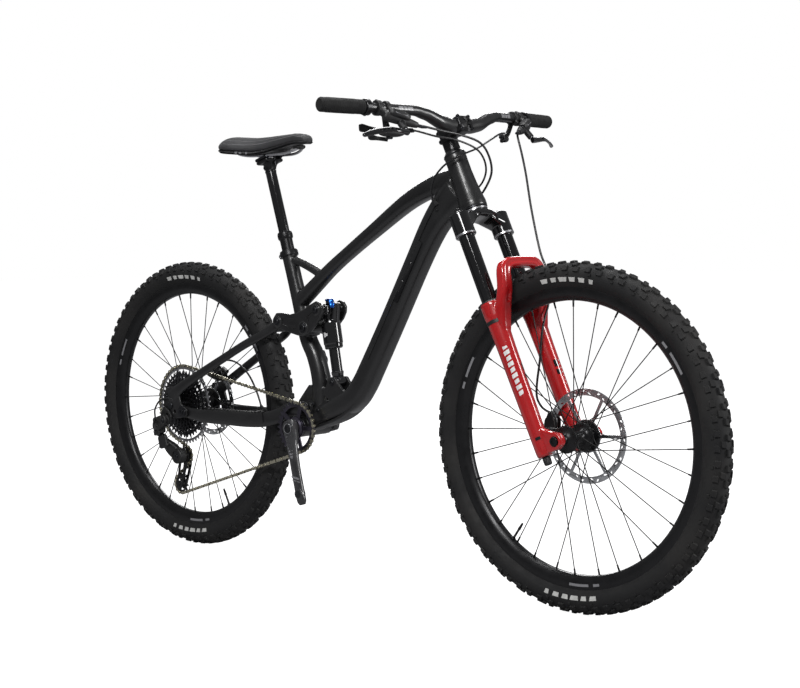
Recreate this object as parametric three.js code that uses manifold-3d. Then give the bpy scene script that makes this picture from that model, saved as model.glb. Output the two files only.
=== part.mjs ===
// Full-suspension trail mountain bike, built as separate solids.
// Frame: +X forward, +Y to the rider's left, +Z up, millimetres.
// The origin is on the ground, midway between the two axles.
import * as THREE from "three";
import { mergeVertices } from "three/addons/utils/BufferGeometryUtils.js";
import Module from "manifold-3d";

const wasm = await Module();
wasm.setup();

// ---------------------------------------------------------------- driving dimensions
const GAP = 0.3; // clearance between touching pieces
const WHEELBASE = 1242;
const TYRE_RADIUS = 373;
const TYRE_HALF_WIDTH = 31;
const RIM_OUTER = 318;
const RIM_INNER = 289;
const RIM_HALF_WIDTH = 17;
const WHEEL_SEGMENTS = 40;
const SPOKE_WIDTH = 2.6;
const SPOKES_PER_SIDE = 16;
const ROTOR_RADIUS_FRONT = 101.5;
const ROTOR_RADIUS_REAR = 90;
const FRONT_ROTOR_Y = 39;
const REAR_ROTOR_Y = 58;
const FRONT_CALIPER_LEAN = -1.055;
const REAR_CALIPER_LEAN = 0.27;

const REAR_AXLE = [-WHEELBASE / 2, TYRE_RADIUS];
const FRONT_AXLE = [WHEELBASE / 2, TYRE_RADIUS];
const BOTTOM_BRACKET = [-177, 344];
const BB_HALF_WIDTH = 46;

const HEAD_ANGLE = THREE.MathUtils.degToRad(65.5);
const FORK_LENGTH = 552; // crown race to axle, along the steering axis
const FORK_OFFSET = 45; // axle ahead of the steering axis
const HEAD_TUBE_LENGTH = 134;
const STEERER_RADIUS = 14.3;
const LEG_Y = 65;
const LEG_FORWARD = 4; // leg axis ahead of the steering axis
const STANCHION_RADIUS = 17.5;
const CROWN_TOP = -12;
const CROWN_BOTTOM = -67;
const LOWERS_TOP = -222;

const STEM_REACH = 40;
const BAR_HEIGHT = 52; // bar clamp centre above the head tube top
const BAR_HALF_WIDTH = 380;
const GRIP_INNER = 258;

const SEAT_ANGLE = THREE.MathUtils.degToRad(73.3);
const SEAT_TOP = [-247, 770]; // centre of the seat tube's upper rim
const POST_HEAD = 235; // saddle clamp above the seat tube rim

const MAIN_PIVOT = [-160, 392];
const HORST_PIVOT = [-572, 358];
const ROCKER_PIVOT = [-154, 586];
const ROCKER_REAR = [-245, 600];
const TRUNNION = [-110, 631];
const SHOCK_EYE = [-80, 456];
const ROCKER_Y = [36, 45];

const CHAIN_PITCH = 12.7;
const CHAINRING_TEETH = 30;
const CHAINRING_Y = -52;
const COG_TEETH = 50;
const COG_Y = -33;
const JOCKEY_TEETH = 12;
const JOCKEY_UPPER = [-622, 238];
const JOCKEY_LOWER = [-641, 160];
const CHAIN_HEIGHT = 8.5;
const CHAIN_WIDTH = 5.6;
const CHAIN_CLEARANCE = 1.3;
const CRANK_LENGTH = 170;
const PEDAL_FACE_Y = 92;
const CRANK_DIRECTION = new THREE.Vector2(47, -163).normalize();

// ---------------------------------------------------------------- materials
function material(color, roughness, metalness) {
  return new THREE.MeshStandardMaterial({ color, roughness, metalness });
}
const SATIN_BLACK = material(0x141415, 0.45, 0.3);
const MATTE_BLACK = material(0x101011, 0.7, 0.1);
const RED_GLOSS = material(0xb01117, 0.2, 0.1);
const GLOSS_BLACK = material(0x050506, 0.12, 0.4);
const DARK_METAL = material(0x2b2c2e, 0.4, 0.8);
const STEEL = material(0xb9bbbd, 0.3, 1);
const CHAIN_METAL = material(0xb4aa8e, 0.35, 1);
const TYRE_RUBBER = material(0x17181a, 0.9, 0);
const GRIP_RUBBER = material(0x121213, 0.85, 0);
const BLUE_ALLOY = material(0x1c6fd0, 0.3, 0.8);
const SADDLE_COVER = material(0x1a1a1c, 0.6, 0);

// ---------------------------------------------------------------- solids
// A closed, outward-facing geometry with only merged positions.
function closed(geometry) {
  const plain = geometry.clone();
  plain.deleteAttribute("normal");
  plain.deleteAttribute("uv");
  const merged = mergeVertices(plain, 1e-3);
  const position = merged.attributes.position;
  const index = merged.index.array;
  const kept = [];
  let volume = 0;
  const a = new THREE.Vector3();
  const b = new THREE.Vector3();
  const c = new THREE.Vector3();
  for (let i = 0; i < index.length; i += 3) {
    const [p, q, r] = [index[i], index[i + 1], index[i + 2]];
    if (p === q || q === r || r === p) continue;
    kept.push(p, q, r);
    a.fromBufferAttribute(position, p);
    b.fromBufferAttribute(position, q);
    c.fromBufferAttribute(position, r);
    volume += a.dot(b.cross(c));
  }
  if (volume < 0) kept.reverse();
  merged.setIndex(kept);
  return merged;
}

function toManifold(geometry) {
  const clean = closed(geometry);
  return new wasm.Manifold(new wasm.Mesh({
    numProp: 3,
    vertProperties: new Float32Array(clean.attributes.position.array),
    triVerts: new Uint32Array(clean.index.array),
  }));
}

function toGeometry(manifold) {
  const mesh = manifold.getMesh();
  const geometry = new THREE.BufferGeometry();
  geometry.setAttribute("position", new THREE.BufferAttribute(new Float32Array(mesh.vertProperties), 3));
  geometry.setIndex(new THREE.BufferAttribute(new Uint32Array(mesh.triVerts), 1));
  return geometry;
}

function join(...geometries) {
  return toGeometry(geometries.map(toManifold).reduce((all, one) => all.add(one)));
}

function cut(geometry, ...tools) {
  return toGeometry(tools.map(toManifold).reduce((rest, tool) => rest.subtract(tool), toManifold(geometry)));
}

// ---------------------------------------------------------------- shape helpers
// Sections along a path. A station is [x, y, z, width, height]; `across` is the width direction.
function loft(stations, across = [0, 1, 0], sides = 12, squareness = 2) {
  const geometry = new THREE.CylinderGeometry(1, 1, 1, sides, stations.length - 1);
  const position = geometry.attributes.position;
  const centres = stations.map(([x, y, z]) => new THREE.Vector3(x, y, z));
  const widthDirection = new THREE.Vector3(...across);
  const frames = centres.map((centre, i) => {
    const before = centres[Math.max(i - 1, 0)];
    const after = centres[Math.min(i + 1, centres.length - 1)];
    const along = after.clone().sub(before).normalize();
    const side = widthDirection.clone().addScaledVector(along, -along.dot(widthDirection)).normalize();
    return { side, up: along.clone().cross(side) };
  });
  const round = (v) => Math.sign(v) * Math.abs(v) ** (2 / squareness);
  for (let i = 0; i < position.count; i++) {
    const station = Math.round((0.5 - position.getY(i)) * (stations.length - 1));
    const { side, up } = frames[station];
    const [, , , width, height] = stations[station];
    const point = centres[station].clone();
    point.addScaledVector(side, round(position.getX(i)) * width / 2);
    point.addScaledVector(up, round(position.getZ(i)) * height / 2);
    position.setXYZ(i, point.x, point.y, point.z);
  }
  return geometry;
}

// A round tube through the given points; `steps` sections are spread along a smooth curve.
function tube(points, radius, steps, sides = 6, tension = 0.5) {
  const vectors = points.map((p) => new THREE.Vector3(...p));
  const curve = new THREE.CatmullRomCurve3(vectors, false, "catmullrom", tension);
  const circle = new THREE.Shape().absarc(0, 0, radius, 0, 2 * Math.PI);
  return new THREE.ExtrudeGeometry(circle, { extrudePath: curve, steps, curveSegments: sides / 2 });
}

// A straight rod between two points.
function rod(start, end, radius, sides = 10, endRadius = radius) {
  const from = new THREE.Vector3(...start);
  const to = new THREE.Vector3(...end);
  const along = to.clone().sub(from);
  const geometry = new THREE.CylinderGeometry(endRadius, radius, along.length(), sides);
  const turn = new THREE.Quaternion().setFromUnitVectors(new THREE.Vector3(0, 1, 0), along.normalize());
  geometry.applyQuaternion(turn);
  geometry.translate(...from.add(to).multiplyScalar(0.5).toArray());
  return geometry;
}

// A cylinder across the bike, centred on [x, z].
function cross([x, z], y0, y1, radius, sides = 12) {
  return rod([x, y0, z], [x, y1, z], radius, sides);
}

// A revolved shape about a line along Y through [x, z]; profile points are [radius, y].
function turned([x, z], profile, segments = 24) {
  const geometry = new THREE.LatheGeometry(profile.map(([r, y]) => new THREE.Vector2(r, y)), segments);
  geometry.translate(x, 0, z);
  return geometry;
}

// A revolved shape about the local Z axis; profile points are [radius, z].
function turnedUp(profile, segments = 24, x = 0, y = 0) {
  const geometry = new THREE.LatheGeometry(profile.map(([r, h]) => new THREE.Vector2(r, h)), segments);
  geometry.rotateX(Math.PI / 2);
  geometry.translate(x, y, 0);
  return geometry;
}

// A flat plate in the XZ plane between y0 and y1, with round holes [x, z, radius].
function plate(outline, y0, y1, holes = []) {
  const shape = new THREE.Shape(outline.map(([x, z]) => new THREE.Vector2(x, z)));
  for (const [x, z, radius] of holes) {
    shape.holes.push(new THREE.Path().absarc(x, z, radius, 0, 2 * Math.PI, true));
  }
  const geometry = new THREE.ExtrudeGeometry(shape, { depth: y1 - y0, bevelEnabled: false, curveSegments: 8 });
  geometry.rotateX(Math.PI / 2);
  geometry.translate(0, y1, 0);
  return geometry;
}

function box(x0, x1, y0, y1, z0, z1) {
  const geometry = new THREE.BoxGeometry(x1 - x0, y1 - y0, z1 - z0);
  geometry.translate((x0 + x1) / 2, (y0 + y1) / 2, (z0 + z1) / 2);
  return geometry;
}

const mirrored = (profile) => profile.map(([x, y, z, ...rest]) => [x, -y, z, ...rest]);
const pitchRadius = (teeth) => CHAIN_PITCH / (2 * Math.sin(Math.PI / teeth));

// ---------------------------------------------------------------- groups
const bike = new THREE.Group();

// Local Z runs up the steering axis from the lower end of the head tube, local X points forward.
const steeringDown = new THREE.Vector2(Math.cos(HEAD_ANGLE), -Math.sin(HEAD_ANGLE));
const steeringForward = new THREE.Vector2(Math.sin(HEAD_ANGLE), Math.cos(HEAD_ANGLE));
const headBase = new THREE.Vector2(...FRONT_AXLE)
  .addScaledVector(steeringDown, -FORK_LENGTH)
  .addScaledVector(steeringForward, -FORK_OFFSET);
const steering = new THREE.Group();
steering.position.set(headBase.x, 0, headBase.y);
steering.rotation.y = HEAD_ANGLE - Math.PI / 2;
bike.add(steering);

// Local Z runs up the seat tube from its upper rim.
const seating = new THREE.Group();
seating.position.set(SEAT_TOP[0], 0, SEAT_TOP[1]);
seating.rotation.y = SEAT_ANGLE - Math.PI / 2;
bike.add(seating);

function add(name, geometry, surface, parent = bike) {
  const mesh = new THREE.Mesh(closed(geometry), surface);
  mesh.name = name;
  parent.add(mesh);
}

// Puts a geometry made in a group's local frame into the bike's frame.
function placed(geometry, group) {
  group.updateMatrixWorld(true);
  return geometry.clone().applyMatrix4(group.matrixWorld);
}

// The bike-frame point of a place given in the steering frame.
function steeringPoint(forward, y, up) {
  steering.updateMatrixWorld(true);
  return new THREE.Vector3(forward, y, up).applyMatrix4(steering.matrixWorld).toArray();
}

// ---------------------------------------------------------------- frame
function mainFrame() {
  const headTube = placed(turnedUp([
    [0, 0], [31, 0], [31, 16], [27, 46], [24, 90], [24.5, HEAD_TUBE_LENGTH], [0, HEAD_TUBE_LENGTH],
  ]), steering);
  const topTube = loft([
    [292, 0, 925, 44, 60], [245, 0, 915, 42, 46], [160, 0, 882, 42, 38], [52, 0, 819, 36, 32],
    [-36, 0, 766, 32, 30], [-93, 0, 730, 32, 31], [-137, 0, 698, 34, 33], [-205, 0, 648, 34, 38],
  ], [0, 1, 0], 10, 2.6);
  const downTube = loft([
    [306, 0, 898, 46, 84], [267, 0, 862, 48, 70], [230, 0, 818, 50, 60], [184, 0, 745, 50, 54],
    [110, 0, 620, 50, 54], [38, 0, 502, 52, 55], [4, 0, 450, 54, 56], [-32, 0, 414, 58, 55],
    [-105, 0, 382, 62, 50], [-177, 0, 350, 66, 46],
  ], [0, 1, 0], 10, 2.8);
  const seatTube = loft([
    [SEAT_TOP[0], 0, SEAT_TOP[1], 36, 36], [-226, 0, 700, 36, 36], [-209, 0, 645, 38, 38],
    [-184, 0, 562, 42, 40], [-158, 0, 516, 44, 42], [-142, 0, 470, 46, 44], [-137, 0, 430, 50, 46],
    [-142, 0, 378, 56, 50],
  ], [0, 1, 0], 10, 2.2);
  const brace = loft([[-240, 0, 752, 24, 20], [-190, 0, 738, 22, 20], [-128, 0, 712, 24, 22]]);
  const shell = cross(BOTTOM_BRACKET, -BB_HALF_WIDTH, BB_HALF_WIDTH, 25, 24);
  const web = plate([[-168, 446], [-206, 404], [-196, 350], [-110, 380], [-100, 440]], -18, 18);
  const pivotBoss = cross(MAIN_PIVOT, -33, 33, 15);
  const rockerBoss = cross(ROCKER_PIVOT, -ROCKER_Y[0] + 1, ROCKER_Y[0] - 1, 15);
  const rockerLug = plate([[-196, 610], [-190, 560], [-158, 566], [-150, 600]], -18, 18);
  const shockTabs = [-1, 1].map((side) => plate(
    [[-112, 420], [-98, 456], [-88, 470], [-70, 470], [-60, 456], [-30, 430], [-60, 395]],
    side > 0 ? 16 : -24, side > 0 ? 24 : -16,
  ));
  const whole = join(
    headTube, topTube, downTube, seatTube, brace, shell, web, pivotBoss, rockerBoss, rockerLug,
    ...shockTabs,
  );
  return cut(
    whole,
    placed(rod([0, 0, -5], [0, 0, HEAD_TUBE_LENGTH + 5], STEERER_RADIUS + 3, 16), steering),
    placed(rod([0, 0, -198], [0, 0, 5], 15.9, 16), seating),
    cross(BOTTOM_BRACKET, -60, 60, 16, 16),
    cross(MAIN_PIVOT, -60, 60, 7),
    cross(ROCKER_PIVOT, -60, 60, 7),
    rod([SHOCK_EYE[0], -15.9, SHOCK_EYE[1]], [SHOCK_EYE[0], 15.9, SHOCK_EYE[1]], 16),
  );
}

function seatClamp() {
  const ring = rod([0, 0, -13], [0, 0, 2], 23, 16);
  const lug = box(-32, -20, -8, 8, -11, 0);
  return cut(join(ring, lug), rod([0, 0, -20], [0, 0, 10], 19.4, 16));
}

function dropperOuter() {
  return turnedUp([
    [13.9, -192], [15.5, -192], [15.5, 30], [18.5, 33], [18.5, 47], [15.5, 50], [13.9, 50], [13.9, -192],
  ], 16);
}

add("main_frame", mainFrame(), SATIN_BLACK);
add("seat_clamp", seatClamp(), SATIN_BLACK, seating);
add("dropper_outer", dropperOuter(), GLOSS_BLACK, seating);

// ---------------------------------------------------------------- seat
function dropperInner() {
  const shaft = rod([0, 0, -38], [0, 0, POST_HEAD - 22], 13.4, 16);
  const neck = rod([0, 0, POST_HEAD - 24], [2, 0, POST_HEAD - 6], 14, 16, 11);
  const cradle = box(-14, 22, -28, 28, POST_HEAD - 8, POST_HEAD + 2);
  return join(shaft, neck, cradle);
}

function saddleRails() {
  const rail = [[-412, 30, 1022], [-385, 24, 1012], [-350, 22, 1008], [-290, 22, 1008], [-240, 18, 1009]];
  const nose = [[-205, 10, 1016], [-197, 0, 1019]];
  const right = mirrored(rail);
  return tube([...rail, ...nose, [-205, -10, 1016], ...right.reverse()], 3.5, 30, 6);
}

function saddle() {
  return loft([
    [-441, 0, 1044, 60, 10], [-436, 0, 1044, 110, 22], [-415, 0, 1043, 138, 32], [-380, 0, 1040, 134, 34],
    [-340, 0, 1037, 100, 32], [-300, 0, 1036, 66, 30], [-250, 0, 1036, 48, 26], [-200, 0, 1037, 40, 24],
    [-172, 0, 1037, 32, 20], [-164, 0, 1036, 18, 10],
  ], [0, 1, 0], 12, 2.3);
}

add("dropper_inner", dropperInner(), GLOSS_BLACK, seating);
add("saddle_rails", saddleRails(), STEEL);
add("saddle", saddle(), SADDLE_COVER);

// ---------------------------------------------------------------- steering
function crownSteerer() {
  const steerer = rod([0, 0, -10], [0, 0, HEAD_TUBE_LENGTH + BAR_HEIGHT + 19], STEERER_RADIUS, 16);
  const race = rod([0, 0, -6], [0, 0, -0.6], 27, 16);
  const bridge = loft([
    [LEG_FORWARD, -LEG_Y, -38, 44, 40], [2, -42, -24, 44, 30], [0, -20, -14, 52, 18],
    [0, 20, -14, 52, 18], [2, 42, -24, 44, 30], [LEG_FORWARD, LEG_Y, -38, 44, 40],
  ], [1, 0, 0], 12, 2.6);
  const sockets = [-LEG_Y, LEG_Y].map((y) => rod([LEG_FORWARD, y, CROWN_BOTTOM], [LEG_FORWARD, y, CROWN_TOP], 23, 12));
  const bores = [-LEG_Y, LEG_Y].map((y) => rod(
    [LEG_FORWARD, y, CROWN_BOTTOM - 5], [LEG_FORWARD, y, -25], STANCHION_RADIUS + GAP, 20,
  ));
  return cut(join(steerer, race, bridge, ...sockets), ...bores);
}

function stanchion(y) {
  return rod([LEG_FORWARD, y, -335], [LEG_FORWARD, y, -25 - GAP], STANCHION_RADIUS, 12);
}

const barCentre = steeringPoint(STEM_REACH, 0, HEAD_TUBE_LENGTH + BAR_HEIGHT);

// Half of the handlebar's centre line, as [offset forward, distance from the middle, offset up].
const BAR_LINE = [
  [0, 0, 0], [0, 34, 0], [0, 66, 6], [-4, 100, 19], [-10, 136, 27], [-29, GRIP_INNER - 2, 29],
  [-49, BAR_HALF_WIDTH, 30],
];

// The handlebar's centre at a distance y from the middle, with the same offsets added.
function onBar(y, forward = 0, up = 0) {
  const reach = Math.abs(y);
  const next = Math.max(1, BAR_LINE.findIndex(([, at]) => at >= reach));
  const [a, b] = [BAR_LINE[next - 1], BAR_LINE[next]];
  const t = (reach - a[1]) / (b[1] - a[1]);
  return [
    barCentre[0] + a[0] + t * (b[0] - a[0]) + forward,
    y,
    barCentre[2] + a[2] + t * (b[2] - a[2]) + up,
  ];
}

function handlebar() {
  const diameterAt = (y) => (y < 60 ? 31.8 : Math.max(22.2, 31.8 - (y - 60) * 0.1));
  const half = BAR_LINE.slice(1).map(([, y]) => [...onBar(y), diameterAt(y), diameterAt(y)]);
  return loft([...mirrored(half).reverse(), ...half], [1, 0, 0], 16);
}

function grip(side) {
  const inner = onBar(side * (GRIP_INNER + 1));
  const outer = onBar(side * (BAR_HALF_WIDTH - 1));
  const along = new THREE.Vector3(...outer).sub(new THREE.Vector3(...inner)).normalize();
  const end = new THREE.Vector3(...outer).addScaledVector(along, 5).toArray();
  const bore = new THREE.Vector3(...inner).addScaledVector(along, -8).toArray();
  const stop = new THREE.Vector3(...outer).addScaledVector(along, 2).toArray();
  const sleeve = join(rod(inner, end, 16, 16), rod(inner, new THREE.Vector3(...inner)
    .addScaledVector(along, 14).toArray(), 17.5, 16));
  return cut(sleeve, rod(bore, stop, 11.9, 16));
}

function stem() {
  const top = HEAD_TUBE_LENGTH + BAR_HEIGHT + 19;
  const clamp = rod([0, 0, HEAD_TUBE_LENGTH + BAR_HEIGHT - 19], [0, 0, top], 19, 16);
  const body = loft([[0, 0, top - 19, 36, 34], [STEM_REACH - 6, 0, top - 19, 46, 40]], [0, 1, 0], 12, 3.5);
  const barBore = rod([STEM_REACH, -40, top - 19], [STEM_REACH, 40, top - 19], 16.3, 16);
  const steererBore = rod([0, 0, 0], [0, 0, top + 10], STEERER_RADIUS + GAP, 16);
  const front = box(STEM_REACH - 0.5, STEM_REACH + 40, -40, 40, top - 60, top + 20);
  const spacer = turnedUp([
    [STEERER_RADIUS + GAP, HEAD_TUBE_LENGTH + GAP], [24, HEAD_TUBE_LENGTH + GAP],
    [18, HEAD_TUBE_LENGTH + 10], [17.5, HEAD_TUBE_LENGTH + BAR_HEIGHT - 19 - GAP],
    [STEERER_RADIUS + GAP, HEAD_TUBE_LENGTH + BAR_HEIGHT - 19 - GAP],
    [STEERER_RADIUS + GAP, HEAD_TUBE_LENGTH + GAP],
  ], 16);
  return {
    stem: cut(join(clamp, body), barBore, steererBore, front),
    spacer,
  };
}

function faceplate() {
  const middle = HEAD_TUBE_LENGTH + BAR_HEIGHT;
  const block = loft([
    [STEM_REACH + GAP, 0, middle, 46, 40], [STEM_REACH + 14, 0, middle, 46, 38],
    [STEM_REACH + 21, 0, middle, 42, 26],
  ], [0, 1, 0], 12, 3.5);
  return cut(block, rod([STEM_REACH, -40, middle], [STEM_REACH, 40, middle], 16.3, 16));
}

add("crown_steerer", crownSteerer(), GLOSS_BLACK, steering);
add("stanchion_right", stanchion(-LEG_Y), GLOSS_BLACK, steering);
add("stanchion_left", stanchion(LEG_Y), GLOSS_BLACK, steering);
const stemPieces = stem();
add("stem", stemPieces.stem, SATIN_BLACK, steering);
add("headset_spacer", stemPieces.spacer, SATIN_BLACK, steering);
add("stem_faceplate", faceplate(), SATIN_BLACK, steering);
add("handlebar", handlebar(), SATIN_BLACK);
add("grip_right", grip(-1), GRIP_RUBBER);
add("grip_left", grip(1), GRIP_RUBBER);

// ---------------------------------------------------------------- handlebar controls
function ringClamp(y, width, outer) {
  return rod(onBar(y - width / 2), onBar(y + width / 2), outer, 12);
}

function barBore(y) {
  return rod(onBar(y - 30), onBar(y + 30), 14, 12);
}

function brakeBody(side) {
  const clamp = ringClamp(side * 236, 12, 17);
  const arm = loft([[...onBar(side * 236, 10, -6), 12, 18], [...onBar(side * 234, 26, -18), 14, 18]]);
  const cylinder = rod(onBar(side * 240, 26, -18), onBar(side * 172, 46, -36), 10, 10, 7);
  const reservoir = rod(onBar(side * 230, 32, -10), onBar(side * 194, 43, -22), 11, 8);
  const pivot = rod(onBar(side * 214, 43, -34), onBar(side * 214, 55, -46), 7, 8);
  const foot = loft([[...onBar(side * 208, 36, -26), 14, 12], [...onBar(side * 212, 49, -40), 12, 12]], [0, 1, 0], 8);
  return cut(join(clamp, arm, cylinder, reservoir, pivot, foot), barBore(side * 236));
}

function brakeLever(side) {
  const at = (y, forward, up) => onBar(side * y, forward, up);
  return loft([
    [...at(216, 62, -53), 12, 12], [...at(232, 66, -52), 10, 12], [...at(256, 66, -50), 8, 14],
    [...at(280, 61, -53), 8, 14], [...at(297, 55, -60), 9, 12], [...at(302, 53, -64), 6, 7],
  ], [0.74, 0, 0.67], 8);
}

function shifterBody() {
  const clamp = ringClamp(-214, 9, 16.5);
  const hanger = loft([[...onBar(-214, -4, -12), 9, 14], [...onBar(-212, 1, -47), 14, 18]], [0, 1, 0], 8);
  const pod = loft([
    [...onBar(-228, 0, -48), 20, 14], [...onBar(-214, 2, -50), 32, 18], [...onBar(-190, 6, -50), 30, 18],
    [...onBar(-168, 14, -44), 14, 12],
  ], [1, 0, 0], 10, 2.6);
  return cut(join(clamp, hanger, pod), barBore(-214));
}

// A thumb paddle that reaches outwards from near a control's middle.
function thumbPaddle(y, forward, up, height) {
  const way = Math.sign(y);
  return loft([
    [...onBar(y, forward, up), 6, 10], [...onBar(y + way * 14, forward - 9, up + 2), 5, height - 4],
    [...onBar(y + way * 26, forward - 14, up + 4), 5, height], [...onBar(y + way * 32, forward - 16, up + 5), 4, 9],
  ], [1, 0, 0], 8, 3);
}

function dropperRemote() {
  const clamp = ringClamp(214, 9, 16.5);
  const arm = loft([
    [...onBar(214, -4, -12), 9, 14], [...onBar(200, -2, -30), 10, 14], [...onBar(174, 2, -46), 12, 16],
  ], [0, 1, 0], 8);
  const barrel = rod(onBar(184, 0, -48), onBar(152, 6, -44), 6, 10);
  return cut(join(clamp, arm, barrel), barBore(214));
}

for (const [name, side] of [["right", -1], ["left", 1]]) {
  add(`brake_body_${name}`, brakeBody(side), MATTE_BLACK);
  add(`brake_lever_${name}`, brakeLever(side), GLOSS_BLACK);
}
add("shifter_body", shifterBody(), MATTE_BLACK);
add("shift_thumb_lever", thumbPaddle(-218, -20, -44, 18), MATTE_BLACK);
add("shift_trigger", thumbPaddle(-200, -16, -63, 13), MATTE_BLACK);
add("dropper_remote_body", dropperRemote(), MATTE_BLACK);
add("dropper_lever", thumbPaddle(186, -12, -51, 15), MATTE_BLACK);

// ---------------------------------------------------------------- fork lowers
function forkLowers() {
  const legs = [-LEG_Y, LEG_Y].map((y) => turnedUp([
    [0, -572], [15, -572], [18, -560], [18.5, -500], [20.5, -330], [23, -240], [23.5, LOWERS_TOP],
    [0, LOWERS_TOP],
  ], 20, LEG_FORWARD, y));
  const dropouts = [-1, 1].map((side) => loft([
    [LEG_FORWARD, side * (LEG_Y + 2), -530, 22, 50], [FORK_OFFSET, side * (LEG_Y - 1), -FORK_LENGTH, 20, 36],
    [FORK_OFFSET + 16, side * (LEG_Y - 1), -FORK_LENGTH - 2, 18, 20],
  ], [0, 1, 0], 10));
  const half = [
    [22, LEG_Y - 2, -254, 28, 32], [52, LEG_Y - 2, -208, 18, 30], [67, LEG_Y - 6, -166, 16, 26],
    [71, LEG_Y - 18, -152, 16, 20], [72, 20, -148, 18, 16],
  ];
  const arch = loft([...mirrored(half), ...half.reverse()], [1, 0, 0], 8, 3);
  const bores = [-LEG_Y, LEG_Y].map((y) => rod(
    [LEG_FORWARD, y, -515], [LEG_FORWARD, y, LOWERS_TOP + 30], STANCHION_RADIUS + 0.4, 20,
  ));
  const seats = [-1, 1].map((side) => rod(
    [FORK_OFFSET, side * 40, -FORK_LENGTH], [FORK_OFFSET, side * 90, -FORK_LENGTH], 8, 16,
  ));
  const hubRoom = rod([FORK_OFFSET, -54, -FORK_LENGTH], [FORK_OFFSET, 54, -FORK_LENGTH], 22, 16);
  return cut(join(...legs, ...dropouts, arch), ...bores, ...seats, hubRoom);
}

function frontAxle() {
  const shaft = rod([FORK_OFFSET, -77, -FORK_LENGTH], [FORK_OFFSET, 70, -FORK_LENGTH], 7.4, 16);
  const head = rod([FORK_OFFSET, -79, -FORK_LENGTH], [FORK_OFFSET, -76, -FORK_LENGTH], 10, 16);
  return join(shaft, head);
}

// A caliper astride a rotor's rim; `lean` turns its place about the axle from straight up.
function caliper([x, z], rotorRadius, lean, y) {
  const body = loft([
    [-34, 0, 0, 20, 20], [-18, 0, 0, 28, 34], [18, 0, 0, 28, 34], [34, 0, 0, 20, 20],
  ], [0, 1, 0], 8, 3);
  const geometry = cut(body, box(-50, 50, -2.2, 2.2, -30, 12));
  geometry.translate(0, y, rotorRadius - 10);
  geometry.rotateY(lean);
  geometry.translate(x, 0, z);
  return geometry;
}

add("fork_lowers", forkLowers(), RED_GLOSS, steering);
add("front_axle", frontAxle(), DARK_METAL, steering);
add("front_caliper", caliper(
  [FORK_OFFSET, -FORK_LENGTH], ROTOR_RADIUS_FRONT, FRONT_CALIPER_LEAN, FRONT_ROTOR_Y,
), MATTE_BLACK, steering);
add("fork_compression_knob", turnedUp([
  [0, CROWN_TOP + GAP], [10.5, CROWN_TOP + GAP], [10.5, CROWN_TOP + 7], [8, CROWN_TOP + 12],
  [0, CROWN_TOP + 12],
], 16, LEG_FORWARD, -LEG_Y), GLOSS_BLACK, steering);
add("fork_rebound_knob", turnedUp([
  [0, -590], [8, -590], [9, -580], [9, -572 - GAP], [0, -572 - GAP],
], 12, LEG_FORWARD, -LEG_Y), MATTE_BLACK, steering);

// ---------------------------------------------------------------- hoses and cable housings
const HOSE_RADIUS = 2.5;
const HOUSING_RADIUS = 2.2;

// From the left brake's master cylinder down past the arch to the front caliper.
function frontBrakeHose() {
  return tube([
    onBar(170, 46, -37), onBar(160, 50, -46), [371, 143, 985], [393, 130, 936], [425, 108, 856],
    [461, 90, 767], [482, 85, 728], [495, 84, 690], [499, 70, 650], [503, 49, 616], [503, 39, 580],
    [498, 39, 530], [488, 40, 480], [486, 40, 445], [496, 40, 425],
  ], HOSE_RADIUS, 28);
}

// From the right brake's master cylinder round the stem to the left side of the head tube.
function rearBrakeHose() {
  return tube([
    onBar(-171, 46, -36), onBar(-155, 50, -38), [358, -110, 1024], [366, -60, 1017], [372, -5, 1003],
    [372, 25, 976], [366, 42, 940], [344, 46, 905], [318, 43, 880], [290, 35, 868], [280, 29, 865],
  ], HOSE_RADIUS, 22);
}

function shiftHousing() {
  return tube([
    onBar(-167, 14, -44), onBar(-150, 20, -45), [338, -110, 1014], [350, -60, 1008], [358, -5, 992],
    [360, 22, 970], [355, 36, 942], [338, 40, 915], [314, 36, 898], [292, 31, 890], [284, 28, 888],
  ], HOUSING_RADIUS, 22);
}

// From the left remote over the stem's foot to the right side of the head tube.
function dropperHousing() {
  return tube([
    onBar(151, 6, -44), onBar(140, 12, -40), [342, 118, 1030], [352, 88, 1026], [358, 50, 1012],
    [352, 10, 992], [330, -26, 975], [300, -40, 956], [272, -42, 930], [258, -38, 905], [256, -32, 885],
    [262, -27, 870],
  ], HOUSING_RADIUS, 24);
}

add("front_brake_hose", frontBrakeHose(), MATTE_BLACK);
add("rear_brake_hose", rearBrakeHose(), MATTE_BLACK);
add("shift_housing", shiftHousing(), MATTE_BLACK);
add("dropper_housing", dropperHousing(), MATTE_BLACK);

// ---------------------------------------------------------------- wheels
function tyre(axle) {
  const w = TYRE_HALF_WIDTH;
  return turned(axle, [
    [RIM_OUTER + 1, -15], [RIM_OUTER + 12, -26], [RIM_OUTER + 32, -w],
    [TYRE_RADIUS - 4, -20], [TYRE_RADIUS, -7], [TYRE_RADIUS, 7], [TYRE_RADIUS - 4, 20],
    [RIM_OUTER + 32, w], [RIM_OUTER + 12, 26], [RIM_OUTER + 1, 15],
    [RIM_OUTER + 1, -15],
  ], WHEEL_SEGMENTS);
}

function rim(axle) {
  const w = RIM_HALF_WIDTH;
  return turned(axle, [
    [RIM_INNER, -6], [RIM_INNER + 10, -w + 1], [RIM_OUTER + 0.5, -w], [RIM_OUTER + 0.5, w],
    [RIM_INNER + 10, w - 1], [RIM_INNER, 6], [RIM_INNER, -6],
  ], WHEEL_SEGMENTS);
}

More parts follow.
